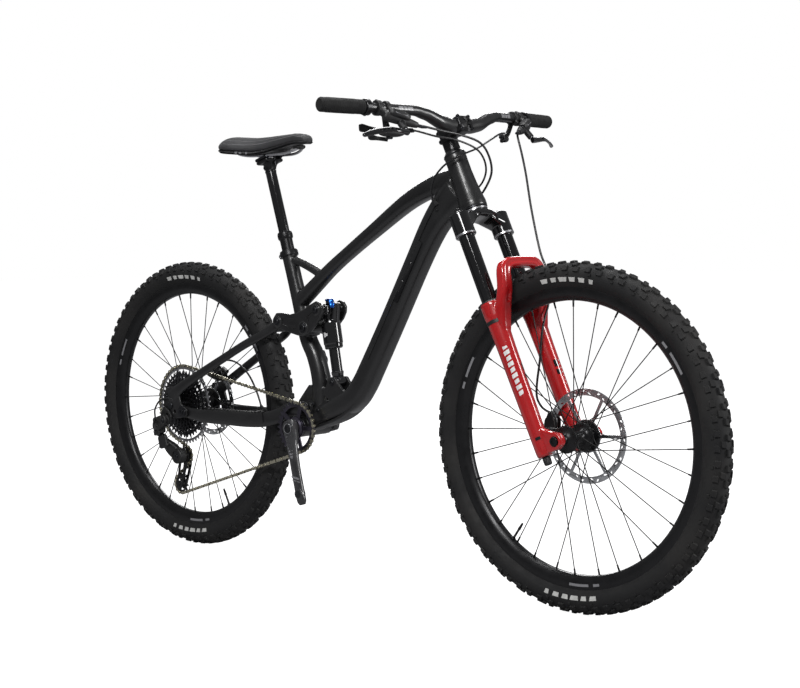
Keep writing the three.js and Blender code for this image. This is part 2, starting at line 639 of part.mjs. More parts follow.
// One spoke from the flange to the rim bed, as a three-sided prism. Crossing spokes pass each other.
function spoke(axle, flangeAngle, rimAngle, flangeRadius, flangeY, rimY) {
  const from = [
    axle[0] + flangeRadius * Math.cos(flangeAngle), flangeY, axle[1] + flangeRadius * Math.sin(flangeAngle),
  ];
  const reach = RIM_INNER - 1;
  const to = [axle[0] + reach * Math.cos(rimAngle), rimY, axle[1] + reach * Math.sin(rimAngle)];
  return rod(from, to, SPOKE_WIDTH / 2, 3);
}

function hubAndSpokes(axle, profile, flangeRadius, flanges, bore) {
  const pieces = [turned(axle, profile, 12)];
  const step = 2 * Math.PI / SPOKES_PER_SIDE;
  flanges.forEach((flangeY, side) => {
    for (let i = 0; i < SPOKES_PER_SIDE; i++) {
      const rimAngle = (i + side / 2) * step;
      const way = i % 2 ? 1 : -1;
      const rimY = Math.sign(flangeY) * 4 + way;
      pieces.push(spoke(axle, rimAngle + way * step * 2.6, rimAngle, flangeRadius - 3, flangeY + way * 2.6, rimY));
    }
  });
  return cut(join(...pieces), cross(axle, -90, 90, bore, 16));
}

function rotor(axle, radius, y) {
  return turned(axle, [
    [26, y - 0.9], [radius, y - 0.9], [radius, y + 0.9], [26, y + 0.9], [26, y - 0.9],
  ], 28);
}

const frontHubProfile = [
  [0, -53], [10, -53], [12, -44], [29, -36], [29, -32], [16, -26], [14, 16], [29, 22], [29, 26],
  [20, 34], [22, FRONT_ROTOR_Y - 1.4], [10, 53], [0, 53],
];
const rearHubProfile = [
  [0, -27], [20, -27], [30, -22], [30, -18], [17, -12], [15, 24], [29, 30], [29, 34], [20, 40],
  [22, REAR_ROTOR_Y - 1.4], [12, 72], [0, 72],
];

for (const [name, axle] of [["front", FRONT_AXLE], ["rear", REAR_AXLE]]) {
  add(`${name}_tyre`, tyre(axle), TYRE_RUBBER);
  add(`${name}_rim`, rim(axle), SATIN_BLACK);
}
add("front_hub_and_spokes", hubAndSpokes(FRONT_AXLE, frontHubProfile, 29, [-34, 24], 7.8), SATIN_BLACK);
add("rear_hub_and_spokes", hubAndSpokes(REAR_AXLE, rearHubProfile, 29, [-20, 32], 7.8), SATIN_BLACK);
add("front_rotor", rotor(FRONT_AXLE, ROTOR_RADIUS_FRONT, FRONT_ROTOR_Y), STEEL);
add("rear_rotor", rotor(REAR_AXLE, ROTOR_RADIUS_REAR, REAR_ROTOR_Y), STEEL);

// ---------------------------------------------------------------- rear suspension
function chainstay() {
  const arms = [-1, 1].map((side) => loft([
    [-226, side * 38, 380, 10, 34], [-250, side * 46, 366, 12, 36], [-290, side * 55, 356, 14, 38],
    [-411, side * 64, 352, 15, 36], [-500, side * 69, 352, 11, 34], [-566, side * 69, 357, 9, 28],
  ], [0, 1, 0], 8, 3));
  const eyes = [-1, 1].map((side) => cross(HORST_PIVOT, side * 64, side * 73.8, 14));
  const forward = [-1, 1].map((side) => loft([
    [-222, side * 38, 382, 10, 34], [-190, side * 39, 388, 9, 32], [MAIN_PIVOT[0], side * 39, MAIN_PIVOT[1], 9, 30],
    [MAIN_PIVOT[0] + 14, side * 39, MAIN_PIVOT[1], 9, 16],
  ], [0, 1, 0], 8, 3));
  const bridge = box(-236, -210, -40, 40, 366, 400);
  const bores = [cross(MAIN_PIVOT, -60, 60, 6.6), cross(HORST_PIVOT, -90, 90, 6.6)];
  return cut(join(...arms, ...forward, ...eyes, bridge), ...bores);
}

function seatstay() {
  const arms = [-1, 1].map((side) => loft([
    [-232, side * 29, 605, 9, 26], [-262, side * 29, 590, 9, 24], [-285, side * 33, 577, 9, 22],
    [-310, side * 45, 564, 11, 21],
    [-360, side * 53, 538, 12, 20], [-480, side * 68, 476, 12, 22], [-570, side * 77, 428, 10, 26],
    [-625, side * 78, 392, 7, 40],
  ], [0, 1, 0], 8, 3));
  const dropouts = [-1, 1].map((side) => plate([
    [-650, 392], [-646, 350], [-620, 342], [-586, 342], [-560, 348], [-556, 366], [-580, 376], [-590, 420],
    [-640, 420],
  ], side > 0 ? 74.4 : -81, side > 0 ? 81 : -74.4));
  const eyes = [-1, 1].map((side) => cross(ROCKER_REAR, side * 24, side * 34.5, 14));
  const bridge = cross([-288, 577], -34, 34, 6, 8);
  const bores = [cross(REAR_AXLE, -90, 90, 8), cross(ROCKER_REAR, -60, 60, 5)];
  return cut(join(...arms, ...dropouts, ...eyes, bridge), ...bores);
}

function rocker(side) {
  const outline = [
    [-262, 590], [-252, 584], [-200, 572], [-154, 566], [-132, 576], [-92, 622], [-94, 642], [-112, 652],
    [-150, 632], [-200, 618], [-250, 620], [-264, 606],
  ];
  const [near, far] = ROCKER_Y;
  const web = plate(outline, side > 0 ? near : -far, side > 0 ? far : -near);
  const boss = cross(ROCKER_REAR, side * near, side * (far + 2), 14);
  const cap = cross(ROCKER_PIVOT, side * near, side * (far + 3), 15);
  return join(web, boss, cap);
}

function rockerRight() {
  return join(rocker(-1), cross(ROCKER_PIVOT, -ROCKER_Y[0] - 1, ROCKER_Y[0] - GAP, 6));
}

// Points along the shock, as a distance from the lower eye and an offset across it.
const shockAxis = new THREE.Vector2(TRUNNION[0] - SHOCK_EYE[0], TRUNNION[1] - SHOCK_EYE[1]);
const SHOCK_LENGTH = shockAxis.length();
const shock = new THREE.Group();
shock.position.set(SHOCK_EYE[0], 0, SHOCK_EYE[1]);
shock.rotation.y = Math.atan2(shockAxis.x, shockAxis.y);
bike.add(shock);

function shockBody() {
  const eye = rod([0, -15, 0], [0, 15, 0], 12, 16);
  const foot = rod([0, 0, 6], [0, 0, 22], 13, 16);
  const shaft = rod([0, 0, 20], [0, 0, SHOCK_LENGTH - 86], 14, 16);
  return join(eye, foot, shaft);
}

function shockCan() {
  const head = SHOCK_LENGTH;
  const sleeve = turnedUp([
    [14.5, head - 96], [21, head - 96], [23.5, head - 92], [23.5, head - 84], [22, head - 82],
    [22, head - 26], [0, head - 26], [0, head - 30], [14.5, head - 30], [14.5, head - 96],
  ], 16);
  const neck = rod([0, 0, head - 30], [0, 0, head - 6], 17, 16);
  const block = box(-15, 17, -27, 27, head - 14, head + 12);
  const piggy = rod([14, 0, head - 30], [26, 0, head + 12], 12, 12);
  return join(sleeve, neck, block, piggy);
}

function lockoutLever() {
  const head = SHOCK_LENGTH;
  return join(rod([18, -14, head + 18], [18, -14, head + 22], 9, 12), box(20, 48, -19, -9, head + 18, head + 22));
}

add("chainstay", chainstay(), SATIN_BLACK);
add("seatstay", seatstay(), SATIN_BLACK);
add("rocker_right", rockerRight(), SATIN_BLACK);
add("rocker_left", rocker(1), SATIN_BLACK);
add("shock_body", shockBody(), GLOSS_BLACK, shock);
add("shock_air_can", shockCan(), GLOSS_BLACK, shock);
add("shock_lockout_lever", lockoutLever(), BLUE_ALLOY, shock);
add("rear_axle", join(cross(REAR_AXLE, -80, 83, 7.4), cross(REAR_AXLE, 81 + GAP, 85, 10)), DARK_METAL);
add("rear_caliper", caliper(REAR_AXLE, ROTOR_RADIUS_REAR, REAR_CALIPER_LEAN, REAR_ROTOR_Y), MATTE_BLACK);

// ---------------------------------------------------------------- drivetrain
function cassette() {
  const steps = [[50, -30], [42, -37], [36, -43], [28, -49], [21, -55], [14, -61], [10, -66]];
  const profile = [[22, -27.6]];
  steps.forEach(([teeth, y], i) => {
    const radius = pitchRadius(teeth) - CHAIN_HEIGHT / 2 - CHAIN_CLEARANCE;
    profile.push([radius, i ? steps[i - 1][1] - 4 : -29.8], [radius, y - 4]);
  });
  profile.push([12, -70], [12, -27.6], [22, -27.6]);
  return turned(REAR_AXLE, profile, 20);
}

function chainring() {
  const radius = pitchRadius(CHAINRING_TEETH) - CHAIN_HEIGHT / 2 - CHAIN_CLEARANCE;
  return turned(BOTTOM_BRACKET, [
    [15.2, CHAINRING_Y - 2], [radius, CHAINRING_Y - 2], [radius, CHAINRING_Y + 2], [15.2, CHAINRING_Y + 2],
    [15.2, CHAINRING_Y - 2],
  ], 30);
}

// A crank arm; `along` runs from the spindle to the pedal hole.
function crankArm(side, along) {
  const at = (distance, y) => [
    BOTTOM_BRACKET[0] + along.x * distance, side * y, BOTTOM_BRACKET[1] + along.y * distance,
  ];
  const arm = loft([
    [...at(-20, 70), 14, 28], [...at(-10, 70), 20, 40], [...at(14, 71), 20, 40], [...at(40, 76), 16, 32],
    [...at(110, 82), 14, 27], [...at(CRANK_LENGTH - 8, 84), 14, 27], [...at(CRANK_LENGTH + 10, 84), 14, 24],
    [...at(CRANK_LENGTH + 16, 84), 12, 14],
  ], [0, 1, 0], 10, 2.8);
  const tip = at(CRANK_LENGTH, 84);
  const boss = rod([tip[0], side * 79, tip[2]], [tip[0], side * PEDAL_FACE_Y, tip[2]], 13, 24);
  const pedalHole = rod([tip[0], side * 60, tip[2]], [tip[0], side * 110, tip[2]], 7, 16);
  return cut(join(arm, boss), pedalHole);
}

const spindle = cross(BOTTOM_BRACKET, -62, 58, 14.5, 16);
add("crank_arm_right", join(crankArm(-1, CRANK_DIRECTION), spindle), DARK_METAL);
add("crank_arm_left", cut(
  crankArm(1, CRANK_DIRECTION.clone().negate()), cross(BOTTOM_BRACKET, 50, 59, 15, 16),
), DARK_METAL);
add("chainring", chainring(), SATIN_BLACK);

// The pulleys the chain runs round, in the order it moves; turn is +1 anticlockwise seen from the drive side.
const PULLEYS = [
  { at: REAR_AXLE, y: COG_Y, radius: pitchRadius(COG_TEETH), turn: -1 },
  { at: BOTTOM_BRACKET, y: CHAINRING_Y, radius: pitchRadius(CHAINRING_TEETH), turn: -1 },
  { at: JOCKEY_LOWER, y: COG_Y, radius: pitchRadius(JOCKEY_TEETH), turn: -1 },
  { at: JOCKEY_UPPER, y: COG_Y, radius: pitchRadius(JOCKEY_TEETH), turn: 1 },
];

// Direction of travel of the straight chain run between two pulleys.
function runAngle(one, two) {
  const [dx, dz] = [two.at[0] - one.at[0], two.at[1] - one.at[1]];
  const offset = (two.turn * two.radius - one.turn * one.radius) / Math.hypot(dx, dz);
  return Math.atan2(dz, dx) - Math.asin(offset);
}

// Points along the closed chain line: an arc on each pulley, with straight runs between them.
function chainLine(arcStep) {
  const points = [];
  PULLEYS.forEach((pulley, i) => {
    const before = PULLEYS[(i + PULLEYS.length - 1) % PULLEYS.length];
    const after = PULLEYS[(i + 1) % PULLEYS.length];
    const start = runAngle(before, pulley) - pulley.turn * Math.PI / 2;
    let sweep = (runAngle(pulley, after) - pulley.turn * Math.PI / 2 - start) * pulley.turn;
    sweep = ((sweep % (2 * Math.PI)) + 2 * Math.PI) % (2 * Math.PI);
    const count = Math.max(2, Math.ceil(sweep / arcStep));
    for (let k = 0; k <= count; k++) {
      const angle = start + pulley.turn * sweep * k / count;
      points.push(new THREE.Vector3(
        pulley.at[0] + pulley.radius * Math.cos(angle), pulley.y, pulley.at[1] + pulley.radius * Math.sin(angle),
      ));
    }
  });
  return points;
}

function chain() {
  const line = chainLine(Math.PI / 12);
  const geometry = new THREE.TorusGeometry(1, 0.5, 4, line.length);
  const position = geometry.attributes.position;
  const corners = [[1, 1], [-1, 1], [-1, -1], [1, -1]];
  const across = new THREE.Vector3(0, 1, 0);
  for (let corner = 0; corner <= 4; corner++) {
    for (let i = 0; i <= line.length; i++) {
      const here = line[i % line.length];
      const along = line[(i + 1) % line.length].clone().sub(line[(i + line.length - 1) % line.length]).normalize();
      const outward = along.clone().cross(across).normalize();
      const [h, w] = corners[corner % 4];
      const point = here.clone().addScaledVector(outward, h * CHAIN_HEIGHT / 2).addScaledVector(across, w * CHAIN_WIDTH / 2);
      position.setXYZ(corner * (line.length + 1) + i, point.x, point.y, point.z);
    }
  }
  return geometry;
}

function jockeyWheel(at) {
  const radius = pitchRadius(JOCKEY_TEETH) - CHAIN_HEIGHT / 2 - CHAIN_CLEARANCE;
  return turned(at, [
    [4.5, COG_Y - 3], [radius, COG_Y - 3], [radius, COG_Y + 3], [4.5, COG_Y + 3], [4.5, COG_Y - 3],
  ], 16);
}

function derailleurBody() {
  const hanger = plate([[-640, 372], [-610, 345], [-618, 322], [-640, 322], [-652, 345]], -88, -81 - GAP);
  const knuckle = loft([
    [-634, -92, 334, 24, 32], [-650, -96, 326, 22, 36], [-664, -90, 316, 18, 30],
  ], [0, 1, 0], 10);
  const bolt = rod([-634, -80, 334], [-634, -100, 334], 11, 14);
  return join(hanger, knuckle, bolt);
}

function derailleurKnuckle() {
  const arm = loft([
    [-660, -80, 284, 14, 24], [-654, -66, 268, 18, 32], [-634, -58, 246, 20, 40],
  ], [0, 1, 0], 10, 2.6);
  return join(arm, cross(JOCKEY_UPPER, -66, -44, 20, 16));
}

function derailleurCage() {
  const direction = new THREE.Vector2(JOCKEY_LOWER[0] - JOCKEY_UPPER[0], JOCKEY_LOWER[1] - JOCKEY_UPPER[1]).normalize();
  const side = new THREE.Vector2(-direction.y, direction.x);
  const corner = (along, across, from) => [
    from[0] + direction.x * along + side.x * across, from[1] + direction.y * along + side.y * across,
  ];
  const outline = [
    corner(-16, -8, JOCKEY_UPPER), corner(-16, 8, JOCKEY_UPPER), corner(0, 15, JOCKEY_UPPER),
    corner(0, 15, JOCKEY_LOWER), corner(15, 8, JOCKEY_LOWER), corner(15, -8, JOCKEY_LOWER),
    corner(0, -15, JOCKEY_LOWER), corner(0, -15, JOCKEY_UPPER),
  ];
  const plates = [plate(outline, COG_Y - 9, COG_Y - 6.5), plate(outline, COG_Y + 6.5, COG_Y + 9)];
  const pins = [JOCKEY_UPPER, JOCKEY_LOWER].map((at) => cross(at, COG_Y - 9, COG_Y + 9, 4, 12));
  return join(...plates, ...pins);
}

add("cassette", cassette(), DARK_METAL);
add("chain", chain(), CHAIN_METAL);
add("derailleur_body", derailleurBody(), MATTE_BLACK);
add("derailleur_knuckle", derailleurKnuckle(), MATTE_BLACK);
add("derailleur_cage", derailleurCage(), SATIN_BLACK);
add("jockey_wheel_upper", jockeyWheel(JOCKEY_UPPER), MATTE_BLACK);
add("jockey_wheel_lower", jockeyWheel(JOCKEY_LOWER), MATTE_BLACK);

export default bike;
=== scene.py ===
"""Full-suspension trail mountain bike: the looks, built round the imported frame.

Lengths are in millimetres until a mesh is made, where MM turns them into metres.
Frame: +X forward, +Y to the rider's left, +Z up, origin on the ground between the axles.
"""

import math

import bmesh
import bpy
import numpy as np
from mathutils import Matrix, Vector


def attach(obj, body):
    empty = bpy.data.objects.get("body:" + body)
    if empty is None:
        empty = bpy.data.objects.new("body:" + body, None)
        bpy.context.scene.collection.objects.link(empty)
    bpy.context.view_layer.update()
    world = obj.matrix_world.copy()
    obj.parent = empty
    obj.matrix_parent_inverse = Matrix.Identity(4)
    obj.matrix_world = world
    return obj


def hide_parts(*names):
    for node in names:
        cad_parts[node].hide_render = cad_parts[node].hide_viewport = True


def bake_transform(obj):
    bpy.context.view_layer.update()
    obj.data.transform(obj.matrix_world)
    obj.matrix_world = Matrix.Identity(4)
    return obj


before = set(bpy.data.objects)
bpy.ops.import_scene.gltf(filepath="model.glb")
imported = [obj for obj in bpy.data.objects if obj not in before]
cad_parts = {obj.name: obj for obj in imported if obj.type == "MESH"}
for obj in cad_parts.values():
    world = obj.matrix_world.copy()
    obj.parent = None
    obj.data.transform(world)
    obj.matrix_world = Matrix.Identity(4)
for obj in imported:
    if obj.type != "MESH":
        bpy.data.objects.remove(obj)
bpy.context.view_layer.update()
MM = 0.001
TAU = 2 * math.pi

# ---------------------------------------------------------------- driving dimensions
WHEELBASE = 1242
TYRE_RADIUS = 373
FRONT_AXLE = (WHEELBASE / 2, TYRE_RADIUS)
REAR_AXLE = (-WHEELBASE / 2, TYRE_RADIUS)
HEAD_ANGLE = math.radians(65.5)
FORK_LENGTH = 552
FORK_OFFSET = 45
HEAD_TUBE_LENGTH = 134
SEAT_ANGLE = math.radians(73.3)
SEAT_TOP = (-247, 770)
BOTTOM_BRACKET = (-177, 344)
MAIN_PIVOT = (-160, 392)
HORST_PIVOT = (-572, 358)
ROCKER_PIVOT = (-154, 586)
ROCKER_REAR = (-245, 600)
TRUNNION = (-110, 631)
SHOCK_EYE = (-80, 456)
CHAIN_PITCH = 12.7
LEG_Y = 65
LEG_FORWARD = 4
STEM_REACH = 40
BAR_HEIGHT = 52
BAR_HALF_WIDTH = 380
GRIP_INNER = 258
SIDES = (("right", -1), ("left", 1))
BAR_LINE = [(0, 0, 0), (0, 34, 0), (0, 66, 6), (-4, 100, 19), (-10, 136, 27), (-29, 256, 29),
            (-49, 380, 30)]

CAMERA_AZIMUTH = 0.7468516
CAMERA_ELEVATION = 0.0647266
CAMERA_ROLL = -0.01419
CAMERA_DISTANCE = 3.57803
CAMERA_TARGET = (0.1221, 0, 0.5540)
CAMERA_LENS = 69.69
FLOOR_HALF = 30
WHITE = (1, 1, 1, 1)
RIDGE_STEPS = 3


# ---------------------------------------------------------------- camera, floor and light
def placed(name, data):
    """A new object in the scene."""
    made = bpy.data.objects.new(name, data)
    bpy.context.scene.collection.objects.link(made)
    return made


def make_camera():
    """The camera stands to the front right of the bike and looks at its middle."""
    flat = math.cos(CAMERA_ELEVATION)
    back = Vector((math.sin(CAMERA_AZIMUTH) * flat, -math.cos(CAMERA_AZIMUTH) * flat,
                   math.sin(CAMERA_ELEVATION)))
    right = (-back).cross(Vector((0, 0, 1))).normalized()
    up = right.cross(-back)
    data = bpy.data.cameras.new("camera")
    data.sensor_width = 36
    data.lens = CAMERA_LENS
    data.clip_end = 60
    camera = placed("camera", data)
    turned = Matrix((right, up, back)).transposed().to_4x4() @ Matrix.Rotation(CAMERA_ROLL, 4, "Z")
    camera.matrix_world = Matrix.Translation(Vector(CAMERA_TARGET) + back * CAMERA_DISTANCE) @ turned
    bpy.context.scene.camera = camera


def area_light(name, place, target, size, power):
    data = bpy.data.lights.new(name, "AREA")
    data.shape = "RECTANGLE"
    data.size, data.size_y = size
    data.energy = power
    light = placed(name, data)
    direction = Vector(target) - Vector(place)
    light.matrix_world = Matrix.Translation(place) @ direction.to_track_quat("-Z",
                                                                             "Y").to_matrix().to_4x4()


def camera_choice(tree, unseen, seen, output):
    """One shader for the camera's own rays and another for all others; used on the stage only."""
    path = tree.nodes.new("ShaderNodeLightPath")
    choice = tree.nodes.new("ShaderNodeMixShader")
    tree.links.new(path.outputs["Is Camera Ray"], choice.inputs[0])
    tree.links.new(unseen.outputs[0], choice.inputs[1])
    tree.links.new(seen.outputs[0], choice.inputs[2])
    tree.links.new(choice.outputs[0], tree.nodes[output].inputs["Surface"])


def make_floor():
    """The floor looks pale to the camera and throws only a little light up on the bike."""
    mesh = bpy.data.meshes.new("floor")
    s = FLOOR_HALF
    mesh.from_pydata([(-s, -s, 0), (s, -s, 0), (s, s, 0), (-s, s, 0)], [], [(0, 1, 2, 3)])
    placed("floor", mesh)
    paint = bpy.data.materials.new("floor")
    paint.use_nodes = True
    tree = paint.node_tree
    pale = tree.nodes["Principled BSDF"]
    pale.inputs["Base Color"].default_value = (0.3, 0.3, 0.3, 1)
    pale.inputs["Roughness"].default_value = 0.9
    pale.inputs["Specular IOR Level"].default_value = 0
    pale.inputs["Emission Color"].default_value = WHITE
    pale.inputs["Emission Strength"].default_value = 0.97
    dim = tree.nodes.new("ShaderNodeBsdfDiffuse")
    dim.inputs["Color"].default_value = (0.32, 0.32, 0.33, 1)
    camera_choice(tree, dim, pale, "Material Output")
    mesh.materials.append(paint)


def make_surround():
    """White all round to the camera, and a dim even light on the bike."""
    world = bpy.data.worlds.new("surround")
    world.use_nodes = True
    tree = world.node_tree
    lit = tree.nodes["Background"]
    lit.inputs[0].default_value = (0.96, 0.97, 1, 1)
    lit.inputs[1].default_value = 0.2
    seen = tree.nodes.new("ShaderNodeBackground")
    seen.inputs[0].default_value = WHITE
    seen.inputs[1].default_value = 1.0
    camera_choice(tree, lit, seen, "World Output")
    bpy.context.scene.world = world


def make_stage():
    """A pale floor, an even pale surround and four soft lights."""
    make_floor()
    make_surround()
    bpy.context.scene.view_settings.view_transform = "Standard"
    area_light("key", (1.8, -3.0, 3.2), (0, 0, 0.5), (1.4, 0.8), 115)
    area_light("over", (-0.3, 0.0, 3.6), (0, 0, 0.4), (3.0, 0.5), 75)
    area_light("back", (-2.4, 3.0, 2.0), (0, 0, 0.6), (1.8, 0.9), 60)
    area_light("front", (3.2, 1.6, 1.6), (0.3, 0, 0.6), (0.6, 1.8), 65)


# ---------------------------------------------------------------- materials
MATERIALS = {}


def node(tree, kind, inputs=None, **settings):
    """A new shader node with some of its settings and inputs filled in."""
    new = tree.nodes.new(kind)
    for key, value in settings.items():
        setattr(new, key, value)
    for key, value in (inputs or {}).items():
        new.inputs[key].default_value = value
    return new


def noise(tree, place, scale, detail):
    """Noise that is fixed to the object."""
    made = node(tree, "ShaderNodeTexNoise", {"Scale": scale, "Detail": detail})
    tree.links.new(place, made.inputs["Vector"])
    return made.outputs["Fac"]


def mapped(tree, value, low, high, to_low, to_high):
    """A value stretched from one range to another."""
    made = node(tree, "ShaderNodeMapRange",
                {"From Min": low, "From Max": high, "To Min": to_low, "To Max": to_high})
    tree.links.new(value, made.inputs["Value"])
    return made.outputs["Result"]


def turned_marks(tree, place, centre):
    """Noise in rings: it depends only on the distance from the axle."""
    away = node(tree, "ShaderNodeVectorMath", {1: (centre[0] * MM, 0, centre[1] * MM)},
                operation="SUBTRACT")
    tree.links.new(place, away.inputs[0])
    flat = node(tree, "ShaderNodeVectorMath", {1: (1, 0, 1)}, operation="MULTIPLY")
    tree.links.new(away.outputs["Vector"], flat.inputs[0])
    reach = node(tree, "ShaderNodeVectorMath", operation="LENGTH")
    tree.links.new(flat.outputs["Vector"], reach.inputs[0])
    rings = node(tree, "ShaderNodeTexNoise", noise_dimensions="1D")
    rings.inputs["Scale"].default_value = 2600
    tree.links.new(reach.outputs["Value"], rings.inputs["W"])
    return rings.outputs["Fac"]


def surface(name, colour, roughness, metallic=0.0, coat=0.0, variation=0.15, scale=40, grain=0.0,
            grain_scale=900, sheen=0.0, dust=None, dust_amount=0.0, specular=0.5, brushed=None):
    """A node material: colour and roughness that vary over the surface, with a fine bump."""
    made = bpy.data.materials.new(name)
    made.use_nodes = True
    tree = made.node_tree
    shader = tree.nodes["Principled BSDF"]
    shader.inputs["Metallic"].default_value = metallic
    shader.inputs["Coat Weight"].default_value = coat
    shader.inputs["Coat Roughness"].default_value = 0.06
    shader.inputs["Sheen Weight"].default_value = sheen
    shader.inputs["Specular IOR Level"].default_value = specular
    place = node(tree, "ShaderNodeTexCoord").outputs["Object"]
    coarse = noise(tree, place, scale, 6)
    ramp = node(tree, "ShaderNodeValToRGB")
    low, high = ramp.color_ramp.elements
    low.position, high.position = 0.3, 0.72
    low.color = (*[c * (1 - variation) for c in colour], 1)
    high.color = (*[min(1, c * (1 + variation)) for c in colour], 1)
    tree.links.new(coarse, ramp.inputs["Fac"])
    colour_out = ramp.outputs["Color"]
    if dust:
        mix = node(tree, "ShaderNodeMix", {7: (*dust, 1)}, data_type="RGBA")
        tree.links.new(mapped(tree, noise(tree, place, 9, 8), 0.42, 0.75, 0, dust_amount), mix.inputs[0])
        tree.links.new(colour_out, mix.inputs[6])
        colour_out = mix.outputs[2]
    tree.links.new(colour_out, shader.inputs["Base Color"])
    spread = mapped(tree, coarse, 0.3, 0.7, max(0.03, roughness * 0.8), min(1, roughness * 1.2))
    tree.links.new(spread, shader.inputs["Roughness"])
    height = turned_marks(tree, place, brushed) if brushed else noise(tree, place, grain_scale, 3)
    bump = node(tree, "ShaderNodeBump", {"Strength": max(grain, 0.02), "Distance": 0.0004})
    tree.links.new(height, bump.inputs["Height"])
    tree.links.new(bump.outputs["Normal"], shader.inputs["Normal"])
    MATERIALS[name] = made


def make_materials():
    surface("frame_satin", (0.0105, 0.0105, 0.011), 0.34, coat=0.18, grain=0.05, scale=16)
    surface("gloss_black", (0.004, 0.004, 0.0045), 0.12, coat=0.8, grain=0.02)
    surface("stanchion_black", (0.008, 0.008, 0.009), 0.09, metallic=0.4, coat=0.6)
    surface("black_anodised", (0.013, 0.013, 0.014), 0.32, metallic=0.5, grain=0.06)
    surface("matte_plastic", (0.009, 0.009, 0.0095), 0.5, grain=0.3, grain_scale=1500)
    surface("red_gloss", (0.42, 0.006, 0.008), 0.22, coat=0.8, variation=0.06, grain=0.03, scale=12)
    surface("tyre_rubber", (0.0125, 0.0125, 0.013), 0.72, grain=0.3, dust=(0.05, 0.046, 0.042),
            dust_amount=0.3, specular=0.3)
    surface("tyre_mark", (0.55, 0.55, 0.53), 0.7, grain=0.2)
    surface("grip_rubber", (0.01, 0.01, 0.01), 0.8, grain=0.5, grain_scale=1200, specular=0.35)
    surface("steel", (0.60, 0.61, 0.62), 0.28, metallic=1, variation=0.08, grain=0.08)
    for end, axle in (("front", FRONT_AXLE), ("rear", REAR_AXLE)):
        surface(f"rotor_{end}_steel", (0.55, 0.56, 0.57), 0.27, metallic=1, variation=0.1, grain=0.35,
                brushed=axle)
    surface("cog_dark", (0.05, 0.05, 0.054), 0.36, metallic=0.9, variation=0.25, grain=0.1)
    surface("cog_silver", (0.42, 0.42, 0.43), 0.33, metallic=1, variation=0.15, grain=0.1)
    surface("chain_nickel", (0.60, 0.57, 0.45), 0.26, metallic=1, variation=0.2, dust=(0.08, 0.07, 0.05),
            dust_amount=0.3)
    surface("chain_dark", (0.16, 0.15, 0.12), 0.36, metallic=1, variation=0.2)
    surface("dark_alloy", (0.04, 0.041, 0.045), 0.38, metallic=0.85, grain=0.08)
    surface("silver_alloy", (0.58, 0.58, 0.6), 0.3, metallic=1, variation=0.1, grain=0.06)
    surface("blue_alloy", (0.02, 0.13, 0.55), 0.25, metallic=0.9, variation=0.1)
    surface("saddle_top", (0.024, 0.024, 0.026), 0.6, grain=0.6, grain_scale=1800, sheen=0.08)
    surface("saddle_side", (0.009, 0.009, 0.01), 0.5, grain=0.6, grain_scale=1500)
    surface("thread_grey", (0.16, 0.16, 0.165), 0.7, grain=0.4)
    surface("graphic_grey", (0.22, 0.22, 0.23), 0.35, coat=0.3, variation=0.05)
    surface("graphic_white", (0.75, 0.75, 0.74), 0.35, coat=0.5, variation=0.04)
    surface("crank_black", (0.012, 0.012, 0.013), 0.28, coat=0.5, grain=0.06, dust=(0.2, 0.2, 0.21),
            dust_amount=0.25)
    surface("spoke_black", (0.006, 0.006, 0.006), 0.4, specular=0.3)
    surface("ring_violet", (0.07, 0.065, 0.085), 0.34, metallic=0.9, variation=0.15, grain=0.08)
    surface("hose_black", (0.012, 0.012, 0.013), 0.38, coat=0.15, grain=0.05)


